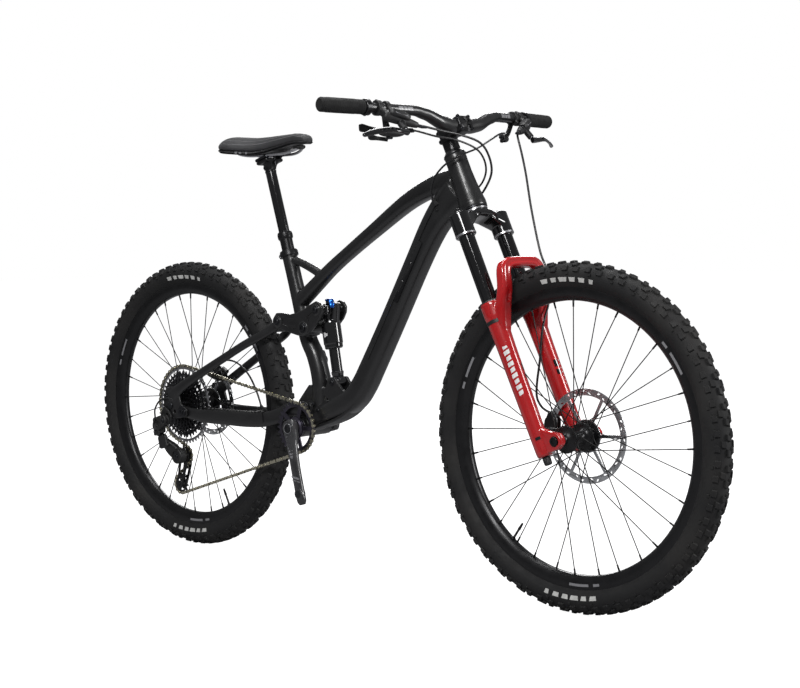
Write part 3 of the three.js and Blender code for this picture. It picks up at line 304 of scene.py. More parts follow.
# ---------------------------------------------------------------- mesh building
class Solid:
    """Closed bodies gathered in one mesh, in millimetres."""

    def __init__(self):
        self.points = []
        self.faces = []

    def add(self, points, faces):
        base = len(self.points)
        self.points.extend(tuple(float(v) for v in p) for p in points)
        self.faces.extend(tuple(base + i for i in face) for face in faces)
        return self

    def rings(self, rings, closed=False):
        """Joins equal rings of points by quads, with flat ends unless the rings close on themselves."""
        n, m = len(rings[0]), len(rings)
        faces = []
        for i in range(m if closed else m - 1):
            j = (i + 1) % m
            faces += [(i * n + k, i * n + (k + 1) % n, j * n + (k + 1) % n, j * n + k) for k in range(n)]
        if not closed:
            faces += [tuple(range(n))[::-1], tuple((m - 1) * n + k for k in range(n))]
        return self.add([p for ring in rings for p in ring], faces)

    def loft(self, stations, across=(0, 1, 0), sides=32, squareness=2.0, steps=6):
        """Rounded sections [x, y, z, width, height] along a path; `across` is the width's direction."""
        rows = smooth_rows(stations, steps)
        centres = [Vector(row[:3]) for row in rows]
        rings = []
        for i, (centre, row) in enumerate(zip(centres, rows)):
            along = (centres[min(i + 1, len(rows) - 1)] - centres[max(i - 1, 0)]).normalized()
            side = (Vector(across) - along * along.dot(Vector(across))).normalized()
            up = along.cross(side)
            ring = []
            for k in range(sides):
                c, s = math.cos(TAU * k / sides), math.sin(TAU * k / sides)
                u = math.copysign(abs(c) ** (2 / squareness), c) * row[3] / 2
                v = math.copysign(abs(s) ** (2 / squareness), s) * row[4] / 2
                ring.append(centre + side * u + up * v)
            rings.append(ring)
        return self.rings(rings)

    def rod(self, start, end, radius, sides=24, end_radius=None, chamfer=0.0):
        """A round bar between two points, with its ends chamfered."""
        start, end = Vector(start), Vector(end)
        along = (end - start).normalized()
        last = radius if end_radius is None else end_radius
        rows = [(0, radius - chamfer), (chamfer, radius), ((end - start).length - chamfer, last),
                ((end - start).length, last - chamfer)]
        if not chamfer:
            rows = [rows[0], rows[3]]
        side = along.orthogonal().normalized()
        other = along.cross(side)
        return self.rings([ring_round(start + along * at, side, other, r, sides) for at, r in rows])

    def cross(self, centre, y0, y1, radius, sides=32, chamfer=0.0):
        """A bar across the bike, centred on (x, z)."""
        return self.rod((centre[0], y0, centre[1]), (centre[0], y1, centre[1]), radius, sides, None,
                        chamfer)

    def tube(self, points, radius, sides=12, steps=6):
        """A round tube along a smooth path."""
        return self.rings(tube_rings(smooth_rows(points, steps), radius, sides))

    def lathe(self, centre, profile, segments=96):
        """A closed profile of (radius, y) turned about the line along Y through (x, z)."""
        rings = []
        for i in range(segments):
            ring = []
            for r, y in profile:
                px, pz = polar(centre, r, TAU * i / segments)
                ring.append((px, y, pz))
            rings.append(ring)
        return self.rings(rings, closed=True)

    def upright(self, profile, x=0, y=0, segments=48):
        """A closed profile of (radius, height) turned about the local Z axis through (x, y)."""
        return self.knurled(profile, x, y, segments)

    def knurled(self, profile, x, y, segments, beyond=0.0, period=1, ridge=0.0, groove=0.0):
        """Like `upright`, with ridges and grooves round it where the radius is beyond a limit."""
        rings = []
        for i in range(segments):
            ripple = ridge if i % period < RIDGE_STEPS else groove
            rings.append([(*polar((x, y), r + (ripple if r > beyond else 0), TAU * i / segments), h)
                          for r, h in profile])
        return self.rings(rings, closed=True)

    def block(self, centre, size, chamfer=1.0, turn=None):
        """A box with its edges chamfered, turned by a matrix about its centre."""
        turn = turn or Matrix.Identity(3)
        hx, hy, hz = (v / 2 for v in size)
        c = chamfer
        rings = []
        for z, inset in ((-hz, c), (-hz + c, 0), (hz - c, 0), (hz, c)):
            x, y = hx - inset, hy - inset
            ring = [(x, y - c), (x - c, y), (c - x, y), (-x, y - c), (-x, c - y), (c - x, -y),
                    (x - c, -y), (x, c - y)]
            rings.append([Vector(centre) + turn @ Vector((u, v, z)) for u, v in ring])
        return self.rings(rings)

    def plate(self, outline, y0, y1, holes=(), bevel=0.5, segments=2):
        """A flat plate in the XZ plane between y0 and y1, with rounded edges and holes."""
        curve = bpy.data.curves.new("outline", "CURVE")
        curve.dimensions = "2D"
        curve.fill_mode = "BOTH"
        curve.offset = -bevel
        curve.bevel_depth = bevel
        curve.bevel_resolution = segments
        curve.extrude = (y1 - y0) / 2 - bevel
        for loop in [outline, *holes]:
            spline = curve.splines.new("POLY")
            spline.points.add(len(loop) - 1)
            for point, (x, z) in zip(spline.points, loop):
                point.co = (x, z, 0, 1)
            spline.use_cyclic_u = True
        shown = bpy.data.objects.new("outline", curve)
        mesh = bpy.data.meshes.new_from_object(shown)
        middle = (y0 + y1) / 2
        self.add([(v.co.x, middle - v.co.z, v.co.y) for v in mesh.vertices],
                 [tuple(p.vertices) for p in mesh.polygons])
        bpy.data.objects.remove(shown)
        bpy.data.curves.remove(curve)
        bpy.data.meshes.remove(mesh)
        return self

    def moved(self, matrix):
        self.points = [tuple(matrix @ Vector(p)) for p in self.points]
        return self


def smooth_rows(rows, steps):
    """Rows of numbers resampled along a Catmull-Rom curve, `steps` to each stretch."""
    rows = [np.array(row, float) for row in rows]
    if steps < 2 or len(rows) < 3:
        return [list(row) for row in rows]
    padded = [2 * rows[0] - rows[1], *rows, 2 * rows[-1] - rows[-2]]
    made = []
    for i in range(1, len(padded) - 2):
        a, b, c, d = padded[i - 1:i + 3]
        for k in range(steps):
            t = k / steps
            made.append(0.5 * (2 * b + (c - a) * t + (2 * a - 5 * b + 4 * c - d) * t * t
                               + (3 * b - a - 3 * c + d) * t ** 3))
    return [list(row) for row in [*made, rows[-1]]]


def polar(centre, radius, angle):
    """A point at an angle round a centre in a plane."""
    return (centre[0] + radius * math.cos(angle), centre[1] + radius * math.sin(angle))


def ring_round(centre, side, other, radius, sides):
    """Evenly spaced points round a centre, in the plane of two directions."""
    return [centre + (side * math.cos(TAU * k / sides) + other * math.sin(TAU * k / sides)) * radius
            for k in range(sides)]


def tube_rings(line, radius, sides):
    """Rings round a line of points, turned as little as possible from one to the next."""
    line = [Vector(p) for p in line]
    rings, side = [], None
    for i, centre in enumerate(line):
        along = (line[min(i + 1, len(line) - 1)] - line[max(i - 1, 0)]).normalized()
        if side is None:
            side = along.orthogonal().normalized()
        else:
            side = (side - along * side.dot(along)).normalized()
        rings.append(ring_round(centre, side, along.cross(side), radius, sides))
    return rings


def circle(centre, radius, count=48, start=0.0, sweep=TAU):
    """Points on an arc; a whole circle leaves out its repeated last point."""
    last = count if abs(sweep - TAU) < 1e-9 else count - 1
    return [polar(centre, radius, start + sweep * i / last) for i in range(count)]


def window(centre, inner, outer, middle, half_angle, gap, count=8):
    """An opening between two radii, as a closed outline; `gap` keeps its sides parallel to the arms."""
    def edge(radius, side):
        return middle + side * max(0.01, half_angle - gap / radius)
    low = circle(centre, inner, count, edge(inner, -1), edge(inner, 1) - edge(inner, -1))
    high = circle(centre, outer, count, edge(outer, 1), edge(outer, -1) - edge(outer, 1))
    return low + high


def apply_modifiers(thing):
    evaluated = thing.evaluated_get(bpy.context.evaluated_depsgraph_get())
    mesh = bpy.data.meshes.new_from_object(evaluated)
    old = thing.data
    thing.modifiers.clear()
    thing.data = mesh
    bpy.data.meshes.remove(old)


def closed_mesh(name, solid):
    """A solid's mesh in metres, with its seams joined and its faces turned outwards."""
    mesh = bpy.data.meshes.new(name)
    mesh.from_pydata([tuple(v * MM for v in p) for p in solid.points], [], solid.faces)
    work = bmesh.new()
    work.from_mesh(mesh)
    bmesh.ops.remove_doubles(work, verts=work.verts, dist=1e-6)
    bmesh.ops.recalc_face_normals(work, faces=work.faces)
    work.to_mesh(mesh)
    work.free()
    return mesh


def carve(thing, cutter):
    """Cuts one closed solid out of an object."""
    tool_mesh = closed_mesh("tool", cutter)
    tool = placed("tool", tool_mesh)
    cutting = thing.modifiers.new("carve", "BOOLEAN")
    cutting.object = tool
    cutting.operation = "DIFFERENCE"
    cutting.solver = "EXACT"
    apply_modifiers(thing)
    bpy.data.objects.remove(tool)
    bpy.data.meshes.remove(tool_mesh)


def finish_shading(thing, sharp):
    """Smooth shading, with edges sharper than an angle in degrees left sharp."""
    thing.data.polygons.foreach_set("use_smooth", [True] * len(thing.data.polygons))
    thing.data.set_sharp_from_angle(angle=math.radians(sharp))


def settle(thing, body, nodes, sharp):
    """Shades a carved object and sets it riding on its body, in place of CAD nodes."""
    finish_shading(thing, sharp)
    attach(thing, body)
    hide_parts(*nodes)


def piece(name, solid, material, body, replaces=(), sharp=35, bevel=0.0, voxel=0.0, relax=4,
          matrix=None):
    """Makes an object of a solid, optionally fused into one skin, and sets it riding on a body."""
    if matrix is not None:
        solid.moved(matrix)
    made = placed(name, closed_mesh(name, solid))
    if voxel:
        remesh = made.modifiers.new("skin", "REMESH")
        remesh.mode = "VOXEL"
        remesh.voxel_size = voxel * MM
        smooth = made.modifiers.new("relax", "SMOOTH")
        smooth.factor = 0.5
        smooth.iterations = relax
        apply_modifiers(made)
    if bevel:
        edge = made.modifiers.new("edge", "BEVEL")
        edge.width = bevel * MM
        edge.segments = 2
        edge.limit_method = "ANGLE"
        edge.angle_limit = math.radians(40)
        apply_modifiers(made)
    finish_shading(made, sharp)
    made.data.materials.clear()
    made.data.materials.append(MATERIALS[material])
    if body:
        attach(made, body)
    if replaces:
        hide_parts(*replaces)
    return made


def steering_matrix():
    """Local Z runs up the steering axis from the head tube's lower end, local X points forward."""
    down = Vector((math.cos(HEAD_ANGLE), 0, -math.sin(HEAD_ANGLE)))
    ahead = Vector((math.sin(HEAD_ANGLE), 0, math.cos(HEAD_ANGLE)))
    base = Vector((FRONT_AXLE[0], 0, FRONT_AXLE[1])) - down * FORK_LENGTH - ahead * FORK_OFFSET
    return Matrix.Translation(base) @ Matrix.Rotation(HEAD_ANGLE - math.pi / 2, 4, "Y")


def seating_matrix():
    """Local Z runs up the seat tube from its upper rim."""
    return Matrix.Translation((SEAT_TOP[0], 0, SEAT_TOP[1])) @ Matrix.Rotation(SEAT_ANGLE - math.pi / 2,
                                                                               4, "Y")


def shock_matrix():
    """Local Z runs from the shock's lower eye to its trunnion."""
    dx, dz = TRUNNION[0] - SHOCK_EYE[0], TRUNNION[1] - SHOCK_EYE[1]
    return Matrix.Translation((SHOCK_EYE[0], 0, SHOCK_EYE[1])) @ Matrix.Rotation(math.atan2(dx, dz), 4,
                                                                                 "Y")


STEERING = steering_matrix()
SEATING = seating_matrix()
SHOCK = shock_matrix()
SHOCK_LENGTH = math.dist(TRUNNION, SHOCK_EYE)
BAR_CENTRE = STEERING @ Vector((STEM_REACH, 0, HEAD_TUBE_LENGTH + BAR_HEIGHT))


def on_bar(y, forward=0.0, up=0.0):
    """The handlebar's centre at a distance y from the middle, with offsets added."""
    reach = abs(y)
    after = next(i for i, row in enumerate(BAR_LINE) if i and row[1] >= reach)
    a, b = BAR_LINE[after - 1], BAR_LINE[after]
    t = (reach - a[1]) / (b[1] - a[1])
    return (BAR_CENTRE[0] + a[0] + t * (b[0] - a[0]) + forward, y,
            BAR_CENTRE[2] + a[2] + t * (b[2] - a[2]) + up)


def bar_rows(rows, side=1):
    """Sections (y, forward, up, width, height) placed along the handlebar."""
    return [(*on_bar(side * y, forward, up), width, height) for y, forward, up, width, height in rows]


def mirrored(rows):
    """The same rows on the other side of the bike."""
    return [(row[0], -row[1], *row[2:]) for row in rows]


# ---------------------------------------------------------------- wheels
CASING_RADIUS = 27.5
CASING_CENTRE = TYRE_RADIUS - 4.5 - CASING_RADIUS
KNOB_ROWS = 76
BEAD_ANGLE = math.radians(146)
CASING_SEGMENTS = 168
CASING_THICKNESS = 2.2
RIM_PROFILE = [(289, -5), (291, -8.5), (299, -14.5), (304, -16), (316.5, -16.8), (318.3, -16.4),
               (318.3, -14.6),
               (312, -13), (311, -3)]
RIM_STRIPE = ((305.5, 16.35), (311, 16.75), (311, 16.1), (305.5, 15.8))
SPOKES_PER_SIDE = 16
SPOKE_CROSSING = 2.6
SPOKE_CIRCLE = 26
NIPPLE_CIRCLE = 290
VALVE_ANGLE = {"front": -2.2, "rear": -1.1}
ROTOR_ARMS = 6
ROTOR_SLOTS = 30


def casing_point(axle, angle, tilt, height):
    """A point on the tyre: `angle` round the axle, `tilt` across the tread, `height` above the casing."""
    reach = CASING_RADIUS + height
    x, z = polar(axle, CASING_CENTRE + reach * math.cos(tilt), angle)
    return (x, reach * math.sin(tilt), z)


def knob(solid, axle, angle, tilt, length, width, height, skew):
    """A tread block with sloping sides; length runs round the tyre, width across it."""
    rings = []
    for share, lift in ((1.18, -1.5), (1.0, height - 0.8), (0.86, height)):
        ring = []
        for u, v in ((-1, -1), (0, -1.06), (1, -1), (1, 1), (0, 1.06), (-1, 1)):
            along = (u * length / 2 + skew * v) * share / (TYRE_RADIUS - 6)
            ring.append(casing_point(axle, angle + along, tilt + v * width / 2 * share / CASING_RADIUS,
                                     lift))
        rings.append(ring)
    solid.rings(rings)


def make_tread(casing, axle):
    """Rows of blocks over the tyre: centre pair, transition, shoulder and side."""
    step = TAU / KNOB_ROWS
    for i in range(KNOB_ROWS):
        angle = i * step
        even = i % 2 == 0
        for side in (-1, 1):
            knob(casing, axle, angle + side * step * 0.08, side * 0.19, 13 if even else 11, 7.4, 4.4,
                 side * 1.4)
            if even:
                knob(casing, axle, angle + step * 0.5, side * 0.60, 12, 8.6, 4.2, side * 1.2)
            knob(casing, axle, angle + step * 0.25, side * (1.06 if even else 1.0), 13.5, 9.6, 4.1, 0)
            if not even:
                knob(casing, axle, angle, side * 1.36, 7, 4.5, 2.4, 0)


def make_tyre_marks(end, axle, body):
    """Two rows of plain blocks on each sidewall."""
    marks = Solid()
    outline = ((-1, 0), (0, 0), (1, 0), (0.8, 0.34), (0, 0.34), (-0.8, 0.34))
    for middle in (1.57, -1.57):
        for i, width in enumerate((20, 16, 24, 18, 18, 12)):
            at = middle + (2.5 - i) * 0.072
            for side in (-1, 1):
                marks.rings([[casing_point(axle, at + u * width / 2 / TYRE_RADIUS, side * (1.66 + v),
                                           lift)
                              for u, v in outline] for lift in (0.15, 0.75)])
    piece(f"tyre_marks_{end}", marks, "tyre_mark", body)


def make_tyre(end, axle, body):
    casing = Solid()
    section = [-BEAD_ANGLE + 2 * BEAD_ANGLE * i / 40 for i in range(41)]
    inner = [BEAD_ANGLE, 1.3, 0.6, 0, -0.6, -1.3, -BEAD_ANGLE]
    rings = []
    for k in range(CASING_SEGMENTS):
        angle = TAU * k / CASING_SEGMENTS
        ring = []
        for tilt in section:
            ridge = 0.9 if 1.92 < abs(tilt) < 2.02 or abs(tilt) > 2.42 else 0.0
            ring.append(casing_point(axle, angle, tilt, ridge))
        ring += [casing_point(axle, angle, tilt, -CASING_THICKNESS) for tilt in inner]
        rings.append(ring)
    casing.rings(rings, closed=True)
    make_tread(casing, axle)
    piece(f"tyre_{end}", casing, "tyre_rubber", body, [f"{end}_tyre"], sharp=32)
    make_tyre_marks(end, axle, body)


def make_rim(end, axle, body):
    rim = Solid().lathe(axle, [*RIM_PROFILE, *[(r, -y) for r, y in RIM_PROFILE[::-1]]], 144)
    piece(f"rim_{end}", rim, "black_anodised", body, [f"{end}_rim"], sharp=30)
    edge = [(317.6, -16.9), (318.6, -16.9), (319.4, -15.4)]
    joint = Solid().lathe(axle, [*edge, *[(r, -y) for r, y in edge[::-1]]], 144)
    piece(f"rim_bead_seat_{end}", joint, "matte_plastic", body)
    stripes = Solid()
    for third in range(3):
        for side in (-1, 1):
            for offset, sweep in ((0, 0.16), (0.2, 0.05)):
                rings = []
                for i in range(13):
                    angle = 0.5 + third * TAU / 3 + offset + sweep * i / 12
                    points = [(polar(axle, radius, angle), side * (y + 0.12)) for radius, y in RIM_STRIPE]
                    rings.append([(x, y, z) for (x, z), y in points])
                stripes.rings(rings)
    piece(f"rim_stripes_{end}", stripes, "graphic_grey", body)


def make_valve(end, axle, body):
    x, z = polar((0, 0), 1, VALVE_ANGLE[end])
    direction = Vector((x, 0, z))
    centre = Vector((axle[0], 0, axle[1]))
    valve = Solid()
    for start, stop, radius, sides, last, chamfer in (
        (291, 258, 2.8, 12, 2.6, 0.4), (290, 286, 5, 16, None, 0.6), (262, 244, 3.4, 12, 2.4, 0.6),
    ):
        valve.rod(centre + direction * start, centre + direction * stop, radius, sides, last, chamfer)
    piece(f"valve_{end}", valve, "black_anodised", body)


def make_spokes(end, axle, body, flanges, hub_profile):
    """A laced wheel: two flanges of crossed spokes, their nipples, and the hub."""
    step = TAU / SPOKES_PER_SIDE
    spokes, nipples = Solid(), Solid()
    for side, flange in enumerate(flanges):
        for i in range(SPOKES_PER_SIDE):
            rim_angle = (i + side / 2) * step
            way = 1 if i % 2 else -1
            x, z = polar(axle, SPOKE_CIRCLE, rim_angle + way * step * SPOKE_CROSSING)
            start = Vector((x, flange + way * 2.6, z))
            x, z = polar(axle, NIPPLE_CIRCLE, rim_angle)
            stop = Vector((x, math.copysign(4, flange) + way, z))
            along = (stop - start).normalized()
            spokes.rod(start, stop, 1.15, 8)
            spokes.rod(start - Vector((0, way * 1.2, 0)), start + Vector((0, way * 1.0, 0)), 2.2, 10,
                       chamfer=0.5)
            nipples.rod(stop - along * 14, stop, 2.0, 8, 2.2, chamfer=0.4)
    piece(f"spokes_{end}", spokes, "spoke_black", body, [f"{end}_hub_and_spokes"],
          sharp=50)
    piece(f"nipples_{end}", nipples, "spoke_black", body, sharp=50)
    hub = Solid().lathe(axle, hub_profile, 64)
    piece(f"hub_{end}", hub, "black_anodised", body, sharp=32, bevel=0.4)
    make_valve(end, axle, body)


def make_rotor(end, axle, radius, y, body):
    """A brake disc: a slotted track on swept arms, riveted to a dark carrier."""
    half_arm = TAU / ROTOR_ARMS / 2
    holes = [window(axle, 36, radius - 15, (i + 0.5) * TAU / ROTOR_ARMS + 0.05, half_arm, 3.6, 10)
             for i in range(ROTOR_ARMS)]
    for i in range(ROTOR_SLOTS):
        middle = i * TAU / ROTOR_SLOTS
        lean, near, far = (0.055, 12, 8.2) if i % 2 else (-0.035, 7.6, 3.4)
        holes.append([polar(axle, radius - inset, middle + turn) for inset, turn in (
            (near, -0.028), (near, 0.028), (far, 0.028 + lean), (far, -0.028 + lean))])
    disc = Solid().plate(circle(axle, radius, 144), y - 0.95, y + 0.95, [*holes, circle(axle, 24, 40)],
                         0.2, 1)
    piece(f"disc_{end}", disc, f"rotor_{end}_steel", body, [f"{end}_rotor"], sharp=30)
    rim = [(15, -3.4), (24, -3.4), (33, -1.5), (34, -1), (34, 1), (33, 1.5), (24, 3.4), (15, 3.4)]
    spider = Solid().lathe(axle, [(r, y + offset) for r, offset in rim], 48)
    for i in range(ROTOR_ARMS):
        spider.cross(polar(axle, 31, i * TAU / ROTOR_ARMS), y - 2.6, y + 2.6, 3.2, 16, chamfer=0.7)
    piece(f"disc_carrier_{end}", spider, "black_anodised", body)


FRONT_HUB = [
    (8, -53), (10, -53), (12, -49), (12, -44), (15, -41), (22, -37.5), (29, -36), (29.6, -34), (29, -32),
    (22, -30),
    (16, -26), (14.2, -20), (13.6, -4), (14.2, 12), (17, 17), (23, 20.5), (29, 22), (29.6, 24), (29, 26),
    (22, 29),
    (19, 31), (19, 36), (13, 38), (12, 48), (10, 53), (8, 53),
]
REAR_HUB = [
    (8, -27), (20, -27), (26, -24), (30, -22), (30.6, -20), (30, -18), (22, -15), (17, -12), (15.4, -4),
    (15, 8),
    (15.6, 20), (19, 26), (25, 29), (29, 30), (29.6, 32), (29, 34), (23, 37), (20, 40), (20, 54),
    (14, 57),
    (13, 68), (12, 72), (8, 72),
]


def make_wheels():
    ends = (("front", FRONT_AXLE, "front_wheel"), ("rear", REAR_AXLE, "rear_wheel"))
    for end, axle, body in ends:
        make_tyre(end, axle, body)
    for end, axle, body in ends:
        make_rim(end, axle, body)
    make_spokes("front", FRONT_AXLE, "front_wheel", (-34, 24), FRONT_HUB)
    make_spokes("rear", REAR_AXLE, "rear_wheel", (-20, 32), REAR_HUB)
    make_rotor("front", FRONT_AXLE, 101.5, 39, "front_wheel")
    make_rotor("rear", REAR_AXLE, 90, 58, "rear_wheel")


# ---------------------------------------------------------------- frame
TOP_TUBE = [
    (296, 0, 922, 38, 54), (245, 0, 915, 42, 46), (160, 0, 882, 42, 38), (52, 0, 819, 36, 32),
    (-36, 0, 766, 32, 30), (-93, 0, 730, 32, 31), (-137, 0, 698, 34, 33), (-205, 0, 648, 34, 38),
]
DOWN_TUBE = [
    (306, 0, 898, 44, 80), (267, 0, 862, 48, 70), (230, 0, 818, 50, 60), (184, 0, 745, 50, 54),
    (110, 0, 620, 50, 54), (38, 0, 502, 52, 55), (4, 0, 450, 54, 56), (-32, 0, 414, 58, 55),
    (-105, 0, 382, 62, 50), (-177, 0, 350, 66, 46),
]
SEAT_TUBE = [
    (-247, 0, 770, 36, 36), (-226, 0, 700, 36, 36), (-209, 0, 645, 38, 38), (-184, 0, 562, 42, 40),
    (-158, 0, 516, 44, 42), (-142, 0, 470, 46, 44), (-137, 0, 430, 50, 46), (-142, 0, 378, 56, 50),
]


def make_main_frame():
    skin = Solid()
    skin.loft(TOP_TUBE, sides=48, squareness=3.1)
    skin.loft(DOWN_TUBE, sides=52, squareness=3.5)
    skin.loft(SEAT_TUBE, sides=40, squareness=2.2)
    skin.loft([(-240, 0, 752, 24, 20), (-190, 0, 738, 22, 20), (-128, 0, 712, 24, 22)], sides=32)
    head = Solid().upright([
        (17.5, 0.6), (29, 0.6), (30.6, 3), (30.8, 14), (28, 34), (25.6, 60), (24.2, 90), (24.4, 120),
        (24.6, 133.4),
        (17.5, 133.4),
    ], segments=64).moved(STEERING)
    skin.add(head.points, head.faces)
    skin.cross(BOTTOM_BRACKET, -45.5, 45.5, 24.6, 48)
    skin.plate([(-168, 446), (-206, 404), (-196, 350), (-110, 380), (-100, 440)], -18, 18, bevel=4)
    skin.cross(MAIN_PIVOT, -32.6, 32.6, 15, 40)
    skin.cross(ROCKER_PIVOT, -34.6, 34.6, 14.6, 40)
    skin.plate([(-196, 610), (-190, 560), (-158, 566), (-150, 600)], -18, 18, bevel=3)
    skin.plate([(262, 918), (318, 930), (338, 884), (336, 862), (296, 852), (262, 880)], -17, 17, bevel=4)
    for side in (-1, 1):
        near, far = (16.4, 24) if side > 0 else (-24, -16.4)
        skin.plate([(-112, 424), (-97, 456), (-88, 469), (-71, 469), (-61, 456), (-34, 430), (-60, 398)],
                   near, far, bevel=1.5)
    piece("frame_skin", skin, "frame_satin", "frame", ["main_frame"], sharp=60, voxel=1.7,
          relax=4)


# ---------------------------------------------------------------- fork
def bolt(solid, centre, direction, radius, height):
    """A socket-head bolt: a chamfered head with a hexagonal recess."""
    centre, direction = Vector(centre), Vector(direction).normalized()
    side = direction.orthogonal().normalized()
    other = direction.cross(side)
    rings = []
    for at, r, six in ((0, radius, False), (height - 0.5, radius, False), (height, radius - 0.5, False),
                       (height, radius * 0.56, True), (height * 0.35, radius * 0.52, True)):
        ring = []
        for k in range(24):
            angle = TAU * k / 24
            reach = r / math.cos((angle + math.pi / 6) % (math.pi / 3) - math.pi / 6) * 0.88 if six else r
            outward = side * math.cos(angle) + other * math.sin(angle)
            ring.append(centre + direction * at + outward * reach)
        rings.append(ring)
    solid.rings(rings)
    return solid


FORK_AXLE = (FORK_OFFSET, -FORK_LENGTH)
LEG_PROFILE = [
    (0.01, -572), (14, -572), (17, -569), (18, -560), (18.5, -500), (20.2, -330), (22, -266),
    (23.4, -254),
    (23.6, -228), (22.6, -222.4), (18.3, -222.4), (18.2, -408), (0.01, -408),
]
DROPOUT = [(2, -506), (16, -514), (60, -540), (63, -552), (58, -564), (44, -570), (0, -568)]


def leg_band(solid, side, s, tall, middle, half, lean):
    """A thin print round part of a fork leg: degrees from straight ahead, and a lean of its ends."""
    rings = []
    for i in range(9):
        share = i / 8
        angle = math.radians(middle - half + 2 * half * share)
        ring = []
        for lift, up in ((0.12, 0), (0.12, tall), (-0.6, tall), (-0.6, 0)):
            reach = 18.5 + (s + 500) * 0.0101 + lift
            ring.append((LEG_FORWARD + reach * math.cos(angle), side * LEG_Y + reach * math.sin(angle),
                         s + up + lean * share))
        rings.append(ring)
    solid.rings(rings)


def across_bike(half, sides, steps):
    """A square-sectioned bar from one side of the bike to the other; `half` runs in to the middle."""
    return Solid().loft([*mirrored(half), *half[::-1]], (1, 0, 0), sides, 3.4, steps)


def make_arch():
    """The arch over the tyre, hollowed by a groove in front and another behind."""
    half = [
        (6, LEG_Y - 1, -306, 20, 22), (13, LEG_Y - 1, -286, 27, 29), (20, LEG_Y - 1, -266, 29, 33),
        (34, LEG_Y - 1, -240, 26, 34), (52, LEG_Y - 2, -208, 25, 33), (62, LEG_Y - 5, -174, 24, 30),
        (65, LEG_Y - 16, -160, 24, 26), (66, 26, -156.5, 24, 23),
    ]
    front = [
        (52, LEG_Y - 1, -240, 9, 12), (69, LEG_Y - 2, -210, 9, 15), (78, LEG_Y - 5, -175, 9, 14),
        (80, LEG_Y - 16, -161, 9, 12), (81, 26, -157, 9, 10),
    ]
    back = [
        (32, LEG_Y - 2, -200, 9, 15), (43, LEG_Y - 5, -171, 9, 14), (49, LEG_Y - 16, -159, 9, 12),
        (51, 26, -155, 9, 10),
    ]
    arch = piece("fork_arch", across_bike(half, 40, 5), "red_gloss", None)
    for groove in (front, back):
        carve(arch, across_bike(groove, 20, 4))
    made = Solid().add([v.co / MM for v in arch.data.vertices],
                       [tuple(p.vertices) for p in arch.data.polygons])
    mesh = arch.data
    bpy.data.objects.remove(arch)
    bpy.data.meshes.remove(mesh)
    return made


def make_fork_lowers():
    skin = Solid()
    for side in (-1, 1):
        skin.upright(LEG_PROFILE, LEG_FORWARD, side * LEG_Y, 56)
        skin.loft([
            (LEG_FORWARD, side * (LEG_Y + 2), -526, 20, 44),
            (FORK_OFFSET - 14, side * LEG_Y, -546, 20, 40),
            (FORK_OFFSET, side * (LEG_Y - 1), -FORK_LENGTH, 19, 33),
            (FORK_OFFSET + 15, side * (LEG_Y - 1), -FORK_LENGTH - 1, 18, 16),
        ], sides=32, squareness=3)
        near, far = sorted((side * 58, side * 75.5))
        skin.plate(DROPOUT, near, far, bevel=2.5)
    for start, end in (((0, 62, -480), (-18, 50, -479)), ((0, 62, -530), (-50, 46, -537))):
        skin.rod(start, end, 7, 20)
    arch = make_arch()
    skin.add(arch.points, arch.faces)
    body = piece("fork_lowers_skin", skin, "red_gloss", None, sharp=60, voxel=1.25, relax=3,
                 matrix=STEERING)
    carve(body, Solid().rod((FORK_OFFSET, -90, -FORK_LENGTH), (FORK_OFFSET, -70, -FORK_LENGTH), 11,
                            40).moved(STEERING))
    carve(body, Solid().rod((FORK_OFFSET, -56, -FORK_LENGTH), (FORK_OFFSET, 56, -FORK_LENGTH), 21,
                            40).moved(STEERING))
    for side in (-1, 1):
        carve(body, Solid().rod((LEG_FORWARD, side * LEG_Y, -409), (LEG_FORWARD, side * LEG_Y, -210), 18,
                                48).moved(STEERING))
    settle(body, "lowers", ["fork_lowers"], 50)


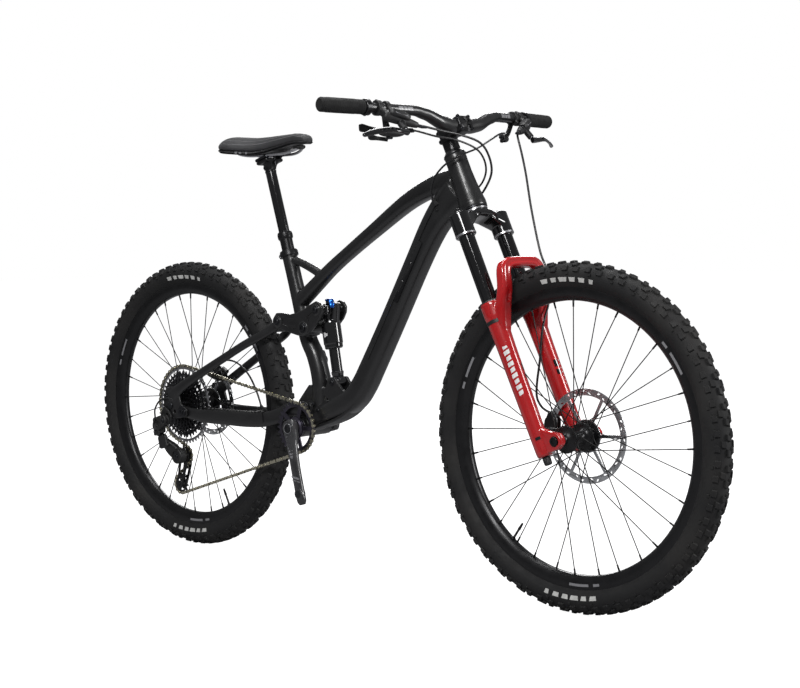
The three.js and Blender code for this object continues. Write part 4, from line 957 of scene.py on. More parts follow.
def make_fork_trim():
    """Seals, prints, foot bolts, rebound knob and axle of the fork's lower part."""
    seals = Solid()
    for side in (-1, 1):
        seals.upright([(17.7, -226), (21.6, -226), (22, -222.2), (20.4, -220.6), (19.4, -218.8),
                       (18, -218.2), (17.7, -219.4)],
                      LEG_FORWARD, side * LEG_Y, 48)
    seals.upright([(22.1, -270), (22.9, -270.5), (22.9, -263), (22.3, -262.5)], LEG_FORWARD, -LEG_Y, 48)
    piece("wiper_seals", seals, "matte_plastic", "lowers", matrix=STEERING)

    bands, panels = Solid(), Solid()
    marks = [(-288, 20, 9), (-298, 34, 0), (-308, 20, -9)]
    marks += [(-332 - 13 * i, 15 + 4 * (i % 2), 3) for i in range(9)]
    for s, wide, lean in marks:
        leg_band(bands, -1, s, 9, -62, wide, lean)
    for i in range(7):
        leg_band(bands, 1, -372 - 9 * i, 2.4, 6, 3, 0)
    for side in (-1, 1):
        for s, tall in ((-384, 16), (-402, 12)):
            leg_band(panels, side, s, tall, side * -22, 15, 0)
    leg_band(panels, -1, -536, 7, -58, 22, 0)
    piece("fork_marks", bands, "graphic_white", "lowers", matrix=STEERING)
    piece("fork_panels", panels, "gloss_black", "lowers", matrix=STEERING)

    foot = Solid()
    for side in (-1, 1):
        foot.upright([(0.01, -574), (7, -574), (9, -572.4), (9, -570), (0.01, -570)], LEG_FORWARD,
                     side * LEG_Y, 24)
    bolt(foot, (LEG_FORWARD, LEG_Y, -572), (0, 0, -1), 7, 4)
    piece("fork_foot_bolts", foot, "black_anodised", "lowers", matrix=STEERING)

    profile = [(0.01, -590), (6.5, -590), (8, -588.5), (8.6, -576), (7.4, -573), (0.01, -573)]
    knob_skin = Solid().knurled(profile, LEG_FORWARD, -LEG_Y, 72, 7.5, 6, 0.5, -0.2)
    piece("rebound_knob", knob_skin, "matte_plastic", "rebound_knob",
          ["fork_rebound_knob"],
          matrix=STEERING)

    axle = Solid()
    axle.rod((FORK_OFFSET, -77, -FORK_LENGTH), (FORK_OFFSET, 72, -FORK_LENGTH), 7.4, 32)
    bolt(axle, (FORK_OFFSET, -75.5, -FORK_LENGTH), (0, -1, 0), 9.6, 3.2)
    piece("front_axle_bolt", axle, "black_anodised", "lowers", ["front_axle"],
          matrix=STEERING)


def make_crown():
    skin = Solid()
    skin.upright([(0.01, -20), (14.3, -20), (14.3, 200), (0.01, 205)], segments=48)
    skin.upright([(14, -9), (26.5, -9), (27, -6), (26, -1.2), (14, -1.2)], segments=48)
    skin.loft([
        (LEG_FORWARD, -LEG_Y, -37, 45, 38), (3, -54, -31, 44, 34), (1, -38, -23, 46, 28),
        (0, -20, -15, 52, 20),
        (0, 0, -13, 54, 20), (0, 20, -15, 52, 21), (1, 38, -23, 46, 28), (3, 54, -31, 44, 34),
        (LEG_FORWARD, LEG_Y, -37, 45, 38),
    ], (1, 0, 0), 40, 3, 5)
    for side in (-1, 1):
        skin.rod((LEG_FORWARD, side * LEG_Y, -67), (LEG_FORWARD, side * LEG_Y, -12), 22.8, 48, chamfer=2)
    crown = piece("crown_skin", skin, "gloss_black", None, voxel=1.3, relax=4, matrix=STEERING)
    pocket_line = [(28, 40, -33, 16, 8), (28, 35, -29, 18, 14), (28.5, 24, -22, 17, 12),
                   (29, 16, -19, 12, 6)]
    for front in (-1, 1):
        for side in (-1, 1):
            line = [(front * x, side * y, z, w, h) for x, y, z, w, h in pocket_line]
            carve(crown, Solid().loft(line, (1, 0, 0), 20, 2.4, 4).moved(STEERING))
    for side in (-1, 1):
        carve(crown, Solid().rod((LEG_FORWARD, side * LEG_Y, -75), (LEG_FORWARD, side * LEG_Y, -28), 17.6,
                                 48).moved(STEERING))
    settle(crown, "steering", ["crown_steerer"], 50)
    for name, side in SIDES:
        tube = Solid().upright([
            (0.01, -250), (16, -250), (17.5, -248), (17.5, -28), (0.01, -28)], LEG_FORWARD, side * LEG_Y,
                               72)
        piece(f"stanchion_{name}_tube", tube, "stanchion_black", "steering",
              [f"stanchion_{name}"],
              matrix=STEERING)
    trim = Solid()
    trim.upright([(26.6, -6.4), (28.6, -6), (28.8, -2.2), (27, -0.8), (20, -0.8), (20, -6.4)],
                 segments=72)
    piece("crown_race", trim, "silver_alloy", "steering", matrix=STEERING)
    # Silver rings round the lower edge of each crown socket: a painted highlight where the stanchion
    # enters the crown.
    highlight_collars = Solid()
    for side in (-1, 1):
        highlight_collars.upright([(22.6, -64.6), (23.4, -64.2), (23.4, -60.8), (22.6, -60.4)], LEG_FORWARD,
                        side * LEG_Y, 48)
    piece("crown_highlight_collars", highlight_collars, "silver_alloy", "steering", matrix=STEERING)
    cap = Solid().upright([(0.01, -13), (11, -13), (11, -8.4), (9, -7), (0.01, -7)], LEG_FORWARD, LEG_Y,
                          40)
    bolt(cap, (LEG_FORWARD, LEG_Y, -7.2), (0, 0, 1), 4, 1.6)
    piece("air_cap", cap, "gloss_black", "steering", matrix=STEERING)
    profile = [(0.01, -11.6), (10.4, -11.6), (10.6, -10), (10.2, -5.2), (8.2, -1), (6.8, -0.2),
               (0.01, -0.2)]
    dial = Solid().knurled(profile, LEG_FORWARD, -LEG_Y, 80, 9, 5, 0.35, -0.35)
    dial.block((LEG_FORWARD, -LEG_Y, 0), (13, 4, 3), 0.8)
    piece("compression_dial", dial, "gloss_black", "compression_knob",
          ["fork_compression_knob"],
          matrix=STEERING)


def make_caliper(name, matrix, body, replaces, flip):
    """A two-piece caliper with finned pads, round piston caps, through bolts and a banjo."""
    skin = Solid().loft([
        (-37, 0, 2, 18, 15), (-30, 0, 1, 22, 20), (-20, 0, 0, 27, 32), (18, 0, 0, 28, 34),
        (30, 0, 2, 22, 22),
        (37, 0, 4, 18, 14),
    ], (0, 1, 0), 32, 3.2, 5)
    made = piece(f"caliper_{name}", skin, "black_anodised", None, voxel=0.9, relax=2)
    carve(made, Solid().block((0, 0, -9), (100, 4.4, 44), 0.2))
    carve(made, Solid().block((0, 0, 12), (26, 9, 30), 1.5))
    made.data.transform(Matrix.Diagonal((1 / MM, 1 / MM, 1 / MM, 1)))
    made.data.transform(matrix)
    made.data.transform(Matrix.Diagonal((MM, MM, MM, 1)))
    settle(made, body, replaces, 40)
    fittings = Solid()
    for side in (-1, 1):
        fittings.rod((-2, side * 12, -2), (-2, side * 15.4, -2), 10.5, 36, chamfer=1.2)
    for x in (-33, 34):
        bolt(fittings, (x, 0, 8), (0, 0, 1), 4.6, 4)
        fittings.rod((x, 0, 6.4), (x, 0, 8), 3, 16)
    for i in range(4):
        fittings.block((-9 + i * 6, 0, 17.5), (1.4, 15, 7), 0.3)
    fittings.rod((22, flip * 12, 6), (22, flip * 17, 6), 6, 20, chamfer=0.8)
    fittings.rod((22, flip * 14.5, 6), (34, flip * 14.5, 18), 3.4, 16, 3)
    piece(f"caliper_fittings_{name}", fittings, "dark_alloy", body, matrix=matrix)


def about_axle(place, lean, reach, y):
    """The matrix of a caliper that leans round an axle."""
    return (Matrix.Translation((place[0], 0, place[1])) @ Matrix.Rotation(lean, 4, "Y")
            @ Matrix.Translation((0, y, reach)))


def make_fork():
    make_fork_lowers()
    make_fork_trim()
    make_crown()
    make_caliper("front", STEERING @ about_axle(FORK_AXLE, -1.055, 91.5, 39), "lowers", ["front_caliper"],
                 1)
    make_caliper("rear", about_axle(REAR_AXLE, 0.27, 80, 58), "upper_arm", ["rear_caliper"], -1)


# ---------------------------------------------------------------- cockpit
BAR_UP = HEAD_TUBE_LENGTH + BAR_HEIGHT
STEM_TOP = BAR_UP + 19
BLADE_WIDTH_WAY = (0.74, 0, 0.67)


def bar_bore():
    return Solid().rod((STEM_REACH, -40, BAR_UP), (STEM_REACH, 40, BAR_UP), 16.4, 48).moved(STEERING)


def make_stem():
    body = Solid()
    body.upright([(14.6, BAR_UP - 19), (18.2, BAR_UP - 19), (19, BAR_UP - 18), (19, STEM_TOP - 1),
                  (18.2, STEM_TOP), (14.6, STEM_TOP)])
    body.loft([(-2, 0, BAR_UP, 32, 32), (14, 0, BAR_UP, 34, 33), (STEM_REACH - 12, 0, BAR_UP, 45, 37),
               (STEM_REACH - 1, 0, BAR_UP, 47, 40)],
              sides=36, squareness=3.6, steps=4)
    for up in (-10, 10):
        body.rod((-18, -8, BAR_UP + up), (-18, 8, BAR_UP + up), 6, 20, chamfer=1)
        body.block((-12, 0, BAR_UP + up), (14, 15, 11), 1.5)
    stem = piece("stem_body", body, "black_anodised", None, voxel=1.0, relax=3, matrix=STEERING)
    carve(stem, bar_bore())
    carve(stem, Solid().block((20, 0, BAR_UP), (13, 60, 17), 3).moved(STEERING))
    carve(stem, Solid().block((-22, 0, BAR_UP), (22, 1.6, 60), 0.2).moved(STEERING))
    settle(stem, "steering", ["stem"], 40)
    plate = Solid()
    plate.loft([(STEM_REACH + 0.8, 0, BAR_UP, 47, 40), (STEM_REACH + 12, 0, BAR_UP, 47, 39),
                (STEM_REACH + 19, 0, BAR_UP, 44, 32), (STEM_REACH + 21.5, 0, BAR_UP, 38, 22)], sides=36,
               squareness=3.6, steps=4)
    face = piece("stem_face", plate, "black_anodised", None, voxel=0.9, relax=2, matrix=STEERING)
    carve(face, bar_bore())
    carve(face, Solid().block((STEM_REACH + 22, 0, BAR_UP), (18, 24, 60), 3).moved(STEERING))
    settle(face, "steering", ["stem_faceplate"], 40)
    bolts = Solid()
    for y in (-17.5, 17.5):
        for up in (-15, 15):
            bolt(bolts, (STEM_REACH + 15.5, y, BAR_UP + up), (1, 0, 0), 4, 4.5)
    for up in (-10, 10):
        for side in (-1, 1):
            bolt(bolts, (-18, side * 7.6, BAR_UP + up), (0, side, 0), 3.8, 3)
    bolt(bolts, (0, 0, STEM_TOP + 4), (0, 0, 1), 5, 3)
    piece("stem_bolts", bolts, "dark_alloy", "steering", matrix=STEERING)
    cap = Solid().upright([(0.01, STEM_TOP), (17.6, STEM_TOP), (18, STEM_TOP + 0.8), (17.4, STEM_TOP + 4),
                           (14, STEM_TOP + 5),
                           (7, STEM_TOP + 5), (6, STEM_TOP + 3.6), (0.01, STEM_TOP + 3.6)])
    piece("stem_cap", cap, "black_anodised", "steering", matrix=STEERING)
    spacers = Solid()
    low = HEAD_TUBE_LENGTH + 0.4
    spacers.upright([(14.6, low), (24.4, low), (24.4, low + 2), (21, low + 6), (18.4, low + 9.4),
                     (14.6, low + 9.4)])
    for start, end in ((9.9, 19.7), (20.1, BAR_HEIGHT - 19.6)):
        spacers.upright([(14.6, low + start), (17.2, low + start), (17.8, low + start + 0.7),
                         (17.8, low + end - 0.7),
                         (17.2, low + end), (14.6, low + end)])
    piece("headset_stack", spacers, "black_anodised", "steering", ["headset_spacer"],
          sharp=30, matrix=STEERING)


def make_handlebar():
    def width(y):
        return 31.8 if y < 52 else max(22.2, 31.8 - (y - 52) * 0.11)
    half = [(*on_bar(y), width(y), width(y)) for y in (18, 34, 50, 66, 82, 100, 118, 136, 170, 210, 256,
                                                       300, 379)]
    bar = Solid().loft([*mirrored(half)[::-1], *half], (1, 0, 0), 40, 2, 4)
    piece("handlebar_tube", bar, "frame_satin", "steering", ["handlebar"])
    marks = Solid()
    for side in (-1, 1):
        for y, wide in ((150, 14), (166, 8), (176, 12)):
            rings = []
            for at in (y, y + wide):
                here = Vector(on_bar(side * at))
                ring = []
                for angle, lift in ((-0.1, 0.6), (0.25, 0.6), (0.6, 0.6), (0.6, -1.5), (-0.1, -1.5)):
                    r = width(at) / 2 + lift
                    ring.append(here + Vector((math.cos(angle), 0, math.sin(angle))) * r)
                rings.append(ring)
            marks.rings(rings)
    piece("handlebar_marks", marks, "graphic_grey", "steering")
    for name, side in SIDES:
        inner = Vector(on_bar(side * (GRIP_INNER + 1)))
        outer = Vector(on_bar(side * (BAR_HALF_WIDTH - 1)))
        along = (outer - inner).normalized()
        length = (outer - inner).length
        across = along.cross(Vector((0, 0, 1))).normalized()
        above = across.cross(along)
        rings = []
        count = 150
        for i in range(count):
            at = 15 + (length + 3 - 15) * i / (count - 1)
            ring = []
            for k in range(48):
                angle = TAU * k / 48
                rib = 0.55 if (i // 3) % 2 == 0 else 0.0
                waffle = 0.45 if (k // 3) % 2 == 0 and 0.2 < i / count < 0.85 else 0.0
                end = min(1, i / 2, (count - 1 - i) / 3)
                r = 15.0 + (rib + waffle) * end - (1 - end) * 0.8
                ring.append(inner + along * at + (across * math.cos(angle) + above * math.sin(angle)) * r)
            rings.append(ring)
        grip = Solid().rings(rings)
        grip.rod(inner + along * (length + 2), inner + along * (length + 5), 14.6, 48, 13, chamfer=0.8)
        piece(f"grip_sleeve_{name}", grip, "grip_rubber", "steering", [f"grip_{name}"],
              sharp=40)
        collar = Solid()
        collar.rod(inner, inner + along * 13.5, 17.2, 48, chamfer=1)
        middle = inner + along * 7
        bolt(collar, middle + above * -15.6 + across * 4, -above, 2.8, 2.6)
        piece(f"grip_collar_{name}", collar, "black_anodised", "steering")


def band_clamp(solid, y, width, outer):
    """A hinged clamp round the bar, with a bolt lug below it."""
    start, end = Vector(on_bar(y - width / 2)), Vector(on_bar(y + width / 2))
    solid.rod(start, end, outer, 40, chamfer=1)
    middle = (start + end) / 2
    solid.block(middle + Vector((13, 0, -11)), (10, width, 10), 1.2, Matrix.Rotation(0.7, 3, "Y"))


def make_brake(name, side):
    def at(y, forward, up):
        return on_bar(side * y, forward, up)
    skin = Solid()
    band_clamp(skin, side * 236, 12, 16.6)
    skin.loft(bar_rows([(237, 10, -5, 13, 19), (235, 20, -12, 14, 19), (231, 30, -19, 18, 20)], side),
              sides=28, squareness=2.8)
    skin.loft(bar_rows([(242, 25, -17, 16, 16), (236, 27, -19, 21, 21), (205, 36, -27, 20, 21),
                        (186, 42, -32, 17, 17), (172, 46, -36, 12, 12)], side), (0, 0.3, 1), 28, 2.3)
    skin.loft(bar_rows([(234, 31, -9, 12, 12), (226, 34, -11, 22, 17), (204, 41, -18, 22, 17),
                        (192, 44, -23, 14, 12)], side),
              (1, 0, 0), 28, 3.2)
    skin.loft(bar_rows([(208, 38, -26, 14, 12), (211, 44, -33, 14, 13), (213, 51, -40, 13, 12)], side),
              sides=24)
    skin.rod(at(214, 42, -33), at(214, 55.5, -47), 7.4, 28, chamfer=1)
    piece(f"brake_master_{name}", skin, "matte_plastic", "steering",
          [f"brake_body_{name}"], voxel=0.8, relax=3)
    trim = Solid()
    for y, forward, up in ((226, 35, -2.6), (203, 42, -10.4)):
        bolt(trim, at(y, forward, up), (0.35, 0, 1), 2, 1.2)
    bolt(trim, at(236, -2, 16), (0, 0, 1), 3, 2)
    trim.rod(at(173, 45.6, -35.6), at(162, 49, -38.6), 4.6, 6, 4.2, chamfer=0.6)
    trim.rod(at(162, 49, -38.6), at(152, 51, -39), 3.5, 16, 2.9)
    piece(f"brake_trim_{name}", trim, "dark_alloy", "steering")
    plaque = Solid()
    plaque.loft(bar_rows([(228, 45, -9, 0.8, 6), (202, 52, -17, 0.8, 6)], side), (1, 0, 0.4), 12, 6, 1)
    piece(f"brake_plaque_{name}", plaque, "graphic_grey", "steering")
    blade = Solid().loft(bar_rows([(212, 60, -53, 12, 13), (218, 62, -53, 12, 12),
                                   (232, 66, -52, 8.5, 11.5), (246, 67.5, -50.5, 6.4, 12),
                                   (262, 65.5, -50, 6, 14), (282, 61, -53, 6.4, 14.5),
                                   (300, 57, -57, 7, 13.5), (312, 53.4, -61, 8, 11),
                                   (317, 51.4, -63, 8, 8), (319, 51, -64, 4, 4)], side), BLADE_WIDTH_WAY,
                         28, 2.8)
    made = piece(f"brake_blade_{name}", blade, "gloss_black", f"{name}_brake_lever",
                 [f"brake_lever_{name}"], sharp=50)
    for y, forward, up, wide in ((245, 67.5, -50.6, 9), (262, 65.5, -50, 12), (279, 61.6, -52.8, 10)):
        hole = Solid().loft(bar_rows([(y - wide / 2, forward, up, 30, 5), (y, forward, up, 30, 6.4),
                                      (y + wide / 2, forward - 1, up - 0.6, 30, 5)], side),
                            BLADE_WIDTH_WAY, 20, 3)
        carve(made, hole)
    finish_shading(made, 50)
    edge = Solid()
    bolt(edge, at(214, 55, -46.5), (0.74, 0, -0.67), 3.4, 2)
    edge.rod(at(222, 52, -46), at(222, 64, -54), 2.4, 12)
    piece(f"brake_blade_trim_{name}", edge, "silver_alloy", f"{name}_brake_lever")


def paddle(y, forward, up, height):
    way = math.copysign(1, y)
    made = Solid().loft(bar_rows([(y - way * 3, forward + 3, up - 1, 6, 8), (y, forward, up, 6, 9),
                                  (y + way * 14, forward - 9, up + 2, 4.6, height - 4),
                                  (y + way * 26, forward - 14, up + 4, 4.4, height),
                                  (y + way * 31, forward - 15.6, up + 5, 4, height - 4),
                                  (y + way * 32.5, forward - 16, up + 5, 2.5, height - 9)]), (1, 0, 0),
                        28, 3.2)
    for i in range(4):
        place = Vector(on_bar(y + way * (16 + i * 3.6), forward - 12.6 - i * 1.3, up + 3))
        made.rod(place - Vector((0, 0, height * 0.3)), place + Vector((0, 0, height * 0.3)), 0.8, 8)
    return made


def make_shifter():
    skin = Solid()
    band_clamp(skin, -214, 9, 16.2)
    skin.loft(bar_rows([(-214, -4, -12, 9, 14), (-213, -2, -28, 11, 15), (-211, 1, -46, 15, 18)]),
              sides=24)
    skin.loft(bar_rows([(-231, 1, -47, 12, 9), (-226, 1, -48, 24, 15), (-212, 2, -50, 32, 18),
                        (-190, 6, -50, 30, 18), (-176, 11, -46, 18, 14), (-168, 14, -44, 11, 11)]),
              (1, 0, 0), 32, 2.7)
    piece("shifter_shell", skin, "matte_plastic", "steering", ["shifter_body"],
          voxel=0.8, relax=3)
    trim = Solid()
    bolt(trim, on_bar(-208, 2, -59), (0, 0, -1), 6, 2)
    trim.rod(on_bar(-207, 2, -60), on_bar(-207, 2, -64), 8, 28, 7, chamfer=0.8)
    trim.rod(on_bar(-169, 14, -44), on_bar(-155, 18, -45), 4.2, 20, 3.6, chamfer=0.6)
    for i in range(4):
        trim.rod(on_bar(-168 + i * 2.6, 14.2 + i * 0.7, -44),
                 on_bar(-166.6 + i * 2.6, 14.6 + i * 0.7, -44.2), 4.9, 20)
    piece("shifter_trim", trim, "dark_alloy", "steering")
    piece("thumb_paddle", paddle(-218, -22, -44, 18), "matte_plastic", "thumb_lever",
          ["shift_thumb_lever"])
    piece("trigger_paddle", paddle(-200, -16, -63, 13), "matte_plastic", "trigger",
          ["shift_trigger"])


def make_remote():
    skin = Solid()
    band_clamp(skin, 214, 9, 16.2)
    skin.loft(bar_rows([(214, -4, -12, 9, 14), (207, -3, -23, 9, 12), (192, -1, -38, 10, 13),
                        (174, 2, -46, 12, 16)]),
              sides=24, squareness=2.6)
    skin.rod(on_bar(188, -1, -48.5), on_bar(160, 5, -45), 7, 28, chamfer=1.2)
    piece("remote_body", skin, "matte_plastic", "steering", ["dropper_remote_body"],
          voxel=0.8, relax=2)
    trim = Solid()
    trim.rod(on_bar(161, 5, -45), on_bar(150, 7, -43.6), 4.4, 20, 3.4, chamfer=0.6)
    for i in range(4):
        trim.rod(on_bar(160 - i * 2.4, 5 + i * 0.4, -44.9), on_bar(158.8 - i * 2.4, 5.3 + i * 0.4, -44.8),
                 5, 20)
    bolt(trim, on_bar(174, 2, -54), (0, 0, -1), 5, 2)
    piece("remote_trim", trim, "dark_alloy", "steering")
    piece("remote_paddle", paddle(186, -15, -51, 15), "black_anodised", "post_lever",
          ["dropper_lever"])


# ---------------------------------------------------------------- hoses
def hose(name, route, diameter, bodies, span, node_name):
    """A hose along its route, riding on its one body, or fixed in place where it runs between two."""
    rows = smooth_rows(route, 8)
    made = piece(name, Solid().rings(tube_rings(rows, diameter / 2, 16)), "hose_black", None,
                 [node_name] if node_name else ())
    if len(bodies) == 2:
        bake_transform(made)
    else:
        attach(made, bodies[0])


FRONT_BRAKE_HOSE = [
    on_bar(170, 46, -37), on_bar(160, 50, -46), (371, 143, 985), (393, 130, 936), (425, 108, 856),
    (461, 90, 767),
    (482, 85, 728), (495, 84, 690), (499, 70, 650), (503, 49, 616), (503, 39, 580), (498, 39, 530),
    (489, 40, 480), (486, 43, 448), (492, 50, 428), (503, 53, 419), (513, 53.5, 416),
]
REAR_BRAKE_HOSE = [
    on_bar(-171, 46, -36), on_bar(-155, 50, -38), (358, -110, 1024), (366, -60, 1017), (372, -5, 1003),
    (372, 25, 976), (366, 42, 940), (344, 46, 905), (318, 43, 880), (290, 35, 868), (280, 29, 865),
]
SHIFT_HOUSING = [
    on_bar(-167, 14, -44), on_bar(-150, 20, -45), (338, -110, 1014), (350, -60, 1008), (358, -5, 992),
    (360, 22, 970), (355, 36, 942), (338, 40, 915), (314, 36, 898), (292, 31, 890), (284, 28, 888),
]
DROPPER_HOUSING = [
    on_bar(151, 6, -44), on_bar(140, 12, -40), (342, 118, 1030), (352, 88, 1026), (358, 50, 1012),
    (352, 10, 992),
    (330, -26, 975), (300, -40, 956), (272, -42, 930), (258, -38, 905), (256, -32, 885), (262, -27, 870),
]
REAR_BRAKE_END = [
    (-424, 58, 371), (-428, 57, 386), (-440, 55, 415), (-459, 53, 446), (-486, 52, 470), (-516, 50, 484),
    (-545, 45, 486), (-566, 42, 476),
]
DERAILLEUR_LOOP = [
    (-592, -78, 366), (-606, -79, 384), (-628, -84, 393), (-652, -92, 384), (-665, -97, 362),
    (-664, -98, 340),
]


HOSES = [
    ("hose_front_brake", FRONT_BRAKE_HOSE, 5, ("steering", "lowers"), ((392, 130, 935), (486, 84, 715)),
     "front_brake_hose"),
    ("hose_rear_brake", REAR_BRAKE_HOSE, 5, ("frame", "steering"), ((284, 30, 866), (372, 40, 955)),
     "rear_brake_hose"),
    ("housing_shift", SHIFT_HOUSING, 4.4, ("frame", "steering"), ((288, 29, 889), (358, 34, 948)),
     "shift_housing"),
    ("housing_dropper", DROPPER_HOUSING, 4.4, ("frame", "steering"), ((256, -34, 890), (316, -36, 968)),
     "dropper_housing"),
    ("hose_rear_brake_end", REAR_BRAKE_END, 5, ("lower_arm", "upper_arm"),
     ((-425, 58, 375), (-500, 51, 478)),
     None),
    ("housing_derailleur", DERAILLEUR_LOOP, 4.4, ("upper_arm",), None, None),
]


def make_hoses():
    for row in HOSES:
        hose(*row)
    ports = Solid()
    for inside, outside, radius in (
        ((262, -21, 871), (255, -31, 884), 6), ((276, 26, 864), (284, 31.5, 866), 6),
        ((280, 25, 888), (288, 30.5, 889.5), 5.6),
    ):
        ports.rod(inside, outside, radius, 24, 4, chamfer=1)
    bolt(ports, (262, -24.5, 858), (0, -1, 0), 3.2, 2)
    piece("cable_ports", ports, "matte_plastic", "frame")
    exits = Solid()
    exits.rod((-424, 62, 366), (-424.5, 58, 374), 5, 20, 3.6, chamfer=0.6)
    exits.block((-400, 68, 369.6), (18, 8, 4), 1)
    piece("chainstay_port", exits, "matte_plastic", "lower_arm")


# ---------------------------------------------------------------- saddle and post
SADDLE_LINE = [
    (-441, 0, 1045, 60, 10), (-436, 0, 1045, 112, 22), (-415, 0, 1045, 137, 28), (-380, 0, 1042, 133, 29),
    (-340, 0, 1039, 100, 29), (-300, 0, 1039, 68, 30), (-250, 0, 1042, 50, 28), (-205, 0, 1044, 42, 25),
    (-176, 0, 1041, 34, 21), (-166, 0, 1038, 20, 11),
]
SADDLE_DIP_REAR = -425
SADDLE_DIP_FRONT = -215
SADDLE_DIP_DEPTH = 3.2
SADDLE_DIP_WIDTH = 8


def saddle_ring(row, sides, low, high, inset=0.0):
    """One section of the saddle between two heights, with a dip along its middle and drooping wings."""
    x, _, z, width, height = row
    ring = []
    half = width / 2 - inset
    for k in range(sides):
        angle = TAU * k / sides
        c, s = math.cos(angle), math.sin(angle)
        u = math.copysign(abs(c) ** 0.62, c)
        v = math.copysign(abs(s) ** 0.72, s)
        level = low + (high - low) * (v + 1) / 2
        dipped = v > 0 and SADDLE_DIP_REAR < x < SADDLE_DIP_FRONT
        dip = SADDLE_DIP_DEPTH * math.exp(-(u * half / SADDLE_DIP_WIDTH) ** 2) if dipped else 0
        droop = (0.62 if x < -330 else 0.62 - 0.004 * (x + 330)) * height * abs(u) ** 2.6
        droop = max(droop, 0.12 * height * abs(u) ** 3)
        ring.append((x, u * half, z + height * level - droop - dip))
    return ring


def make_saddle():
    rows = smooth_rows(SADDLE_LINE, 8)
    cover = Solid().rings([saddle_ring(row, 64, -0.36, 0.5) for row in rows])
    top = piece("saddle_cover", cover, "saddle_top", "seat", ["saddle"], sharp=70)
    skirt = Solid().rings([saddle_ring(row, 64, -0.4, -0.16, -0.7) for row in rows[1:-1]])
    piece("saddle_skirt", skirt, "saddle_side", "seat", sharp=60)
    shell = Solid().rings([saddle_ring(row, 48, -0.5, -0.3, 3) for row in rows[2:-2]])
    piece("saddle_shell", shell, "matte_plastic", "seat", sharp=60)
    seams = Solid()
    inner = smooth_rows(SADDLE_LINE[1:-1], 6)
    for side in (-1, 1):
        for place in (5, 9):
            line = []
            for row in inner:
                ring = saddle_ring(row, 64, -0.36, 0.5, -0.1)
                line.append(ring[place if side > 0 else 32 - place])
            seams.rings(tube_rings(line, 0.7, 8))
    piece("saddle_seams", seams, "thread_grey", "seat")
    labels = Solid()
    for side in (-1, 1):
        for x in (-366, -354, -342):
            row = min(rows, key=lambda r: abs(r[0] - x))
            place = saddle_ring(row, 64, -0.4, -0.16, -0.9)[1 if side > 0 else 31]
            labels.block(place, (8, 1.6, 5), 0.4)
    piece("saddle_labels", labels, "graphic_grey", "seat")
    rails = Solid()
    route = [(-414, 31, 1026), (-400, 28, 1018), (-385, 24, 1012), (-350, 22, 1008), (-290, 22, 1008),
             (-240, 18, 1009),
             (-212, 12, 1015), (-200, 6, 1020), (-197, 0, 1021)]
    rails.tube([*route, *[(x, -y, z) for x, y, z in route[-2::-1]]], 3.5, 20, 6)
    piece("saddle_rail", rails, "silver_alloy", "seat", ["saddle_rails"])
    sockets = Solid()
    sockets.loft([(-424, 0, 1028, 70, 10), (-400, 0, 1024, 72, 14), (-392, 0, 1023, 62, 8)], sides=28,
                 squareness=4)
    sockets.loft([(-212, 0, 1022, 26, 8), (-198, 0, 1023, 24, 12), (-190, 0, 1024, 18, 8)], sides=24,
                 squareness=3)
    piece("saddle_sockets", sockets, "matte_plastic", "seat")


def make_post():
    lower = Solid().upright([
        (13.6, -192), (15.4, -192), (15.6, -190), (15.6, 30), (18, 33), (18.6, 35), (18.6, 45),
        (17.4, 48.6), (15, 50.5),
        (13.6, 50.5)], segments=72)
    lower.upright([(18.4, 36), (18.9, 36.5), (18.9, 43), (18.4, 43.5)], segments=72)
    piece("post_outer", lower, "black_anodised", "frame", ["dropper_outer"], sharp=30,
          matrix=SEATING)
    upper = Solid().upright([(0.01, -38), (13.2, -38), (13.4, -36), (13.4, 210), (0.01, 214)],
                            segments=72)
    piece("post_inner", upper, "stanchion_black", "seat", ["dropper_inner"],
          matrix=SEATING)
    head = Solid()
    head.upright([(0.01, 204), (14, 204), (14.2, 208), (12, 214), (0.01, 216)])
    head.loft([(0, 0, 207, 24, 22), (3, 0, 220, 30, 26), (5, 0, 230, 46, 36)], sides=28, squareness=3)
    head.block((4, 0, 231), (40, 58, 9), 2.5)
    piece("post_head", head, "black_anodised", "seat", voxel=1.0, relax=3, matrix=SEATING)
    clamp = Solid()
    for x in (-17, 23):
        clamp.rod((x, 0, 216), (x, 0, 246), 3, 16)
        bolt(clamp, (x, 0, 224), (0, 0, -1), 4.4, 5)
        clamp.rod((x, -8, 244), (x, 8, 244), 4.4, 20, chamfer=0.6)
    for side in (-1, 1):
        clamp.block((3, side * 22, 239.5), (44, 12, 8), 2)
    piece("post_clamp", clamp, "dark_alloy", "seat", matrix=SEATING)
    collar = Solid().upright([(17.9, -13), (21.4, -13), (22.6, -11.6), (22.6, -1), (21.4, 1.6), (16, 2),
                              (16, 0.4), (17.9, 0)])
    collar.block((-24, 0, -6), (12, 15, 12), 1.6)
    piece("seat_collar", collar, "black_anodised", "frame", ["seat_clamp"], sharp=30,
          matrix=SEATING)
    fixings = bolt(Solid(), (-25, -7.4, -6), (0, -1, 0), 3.4, 2.6)
    piece("seat_collar_bolt", fixings, "silver_alloy", "frame", matrix=SEATING)


# ---------------------------------------------------------------- frame details
def pivot_cap(solid, place, y, side, radius, height=3.0):
    """A pivot's cover: a stepped washer with a socket bolt in it."""
    x, z = place
    solid.rod((x, y, z), (x, y + side * height * 0.5, z), radius, 40, chamfer=0.5)
    bolt(solid, (x, y + side * height * 0.5, z), (0, side, 0), radius * 0.72, height)
    return solid


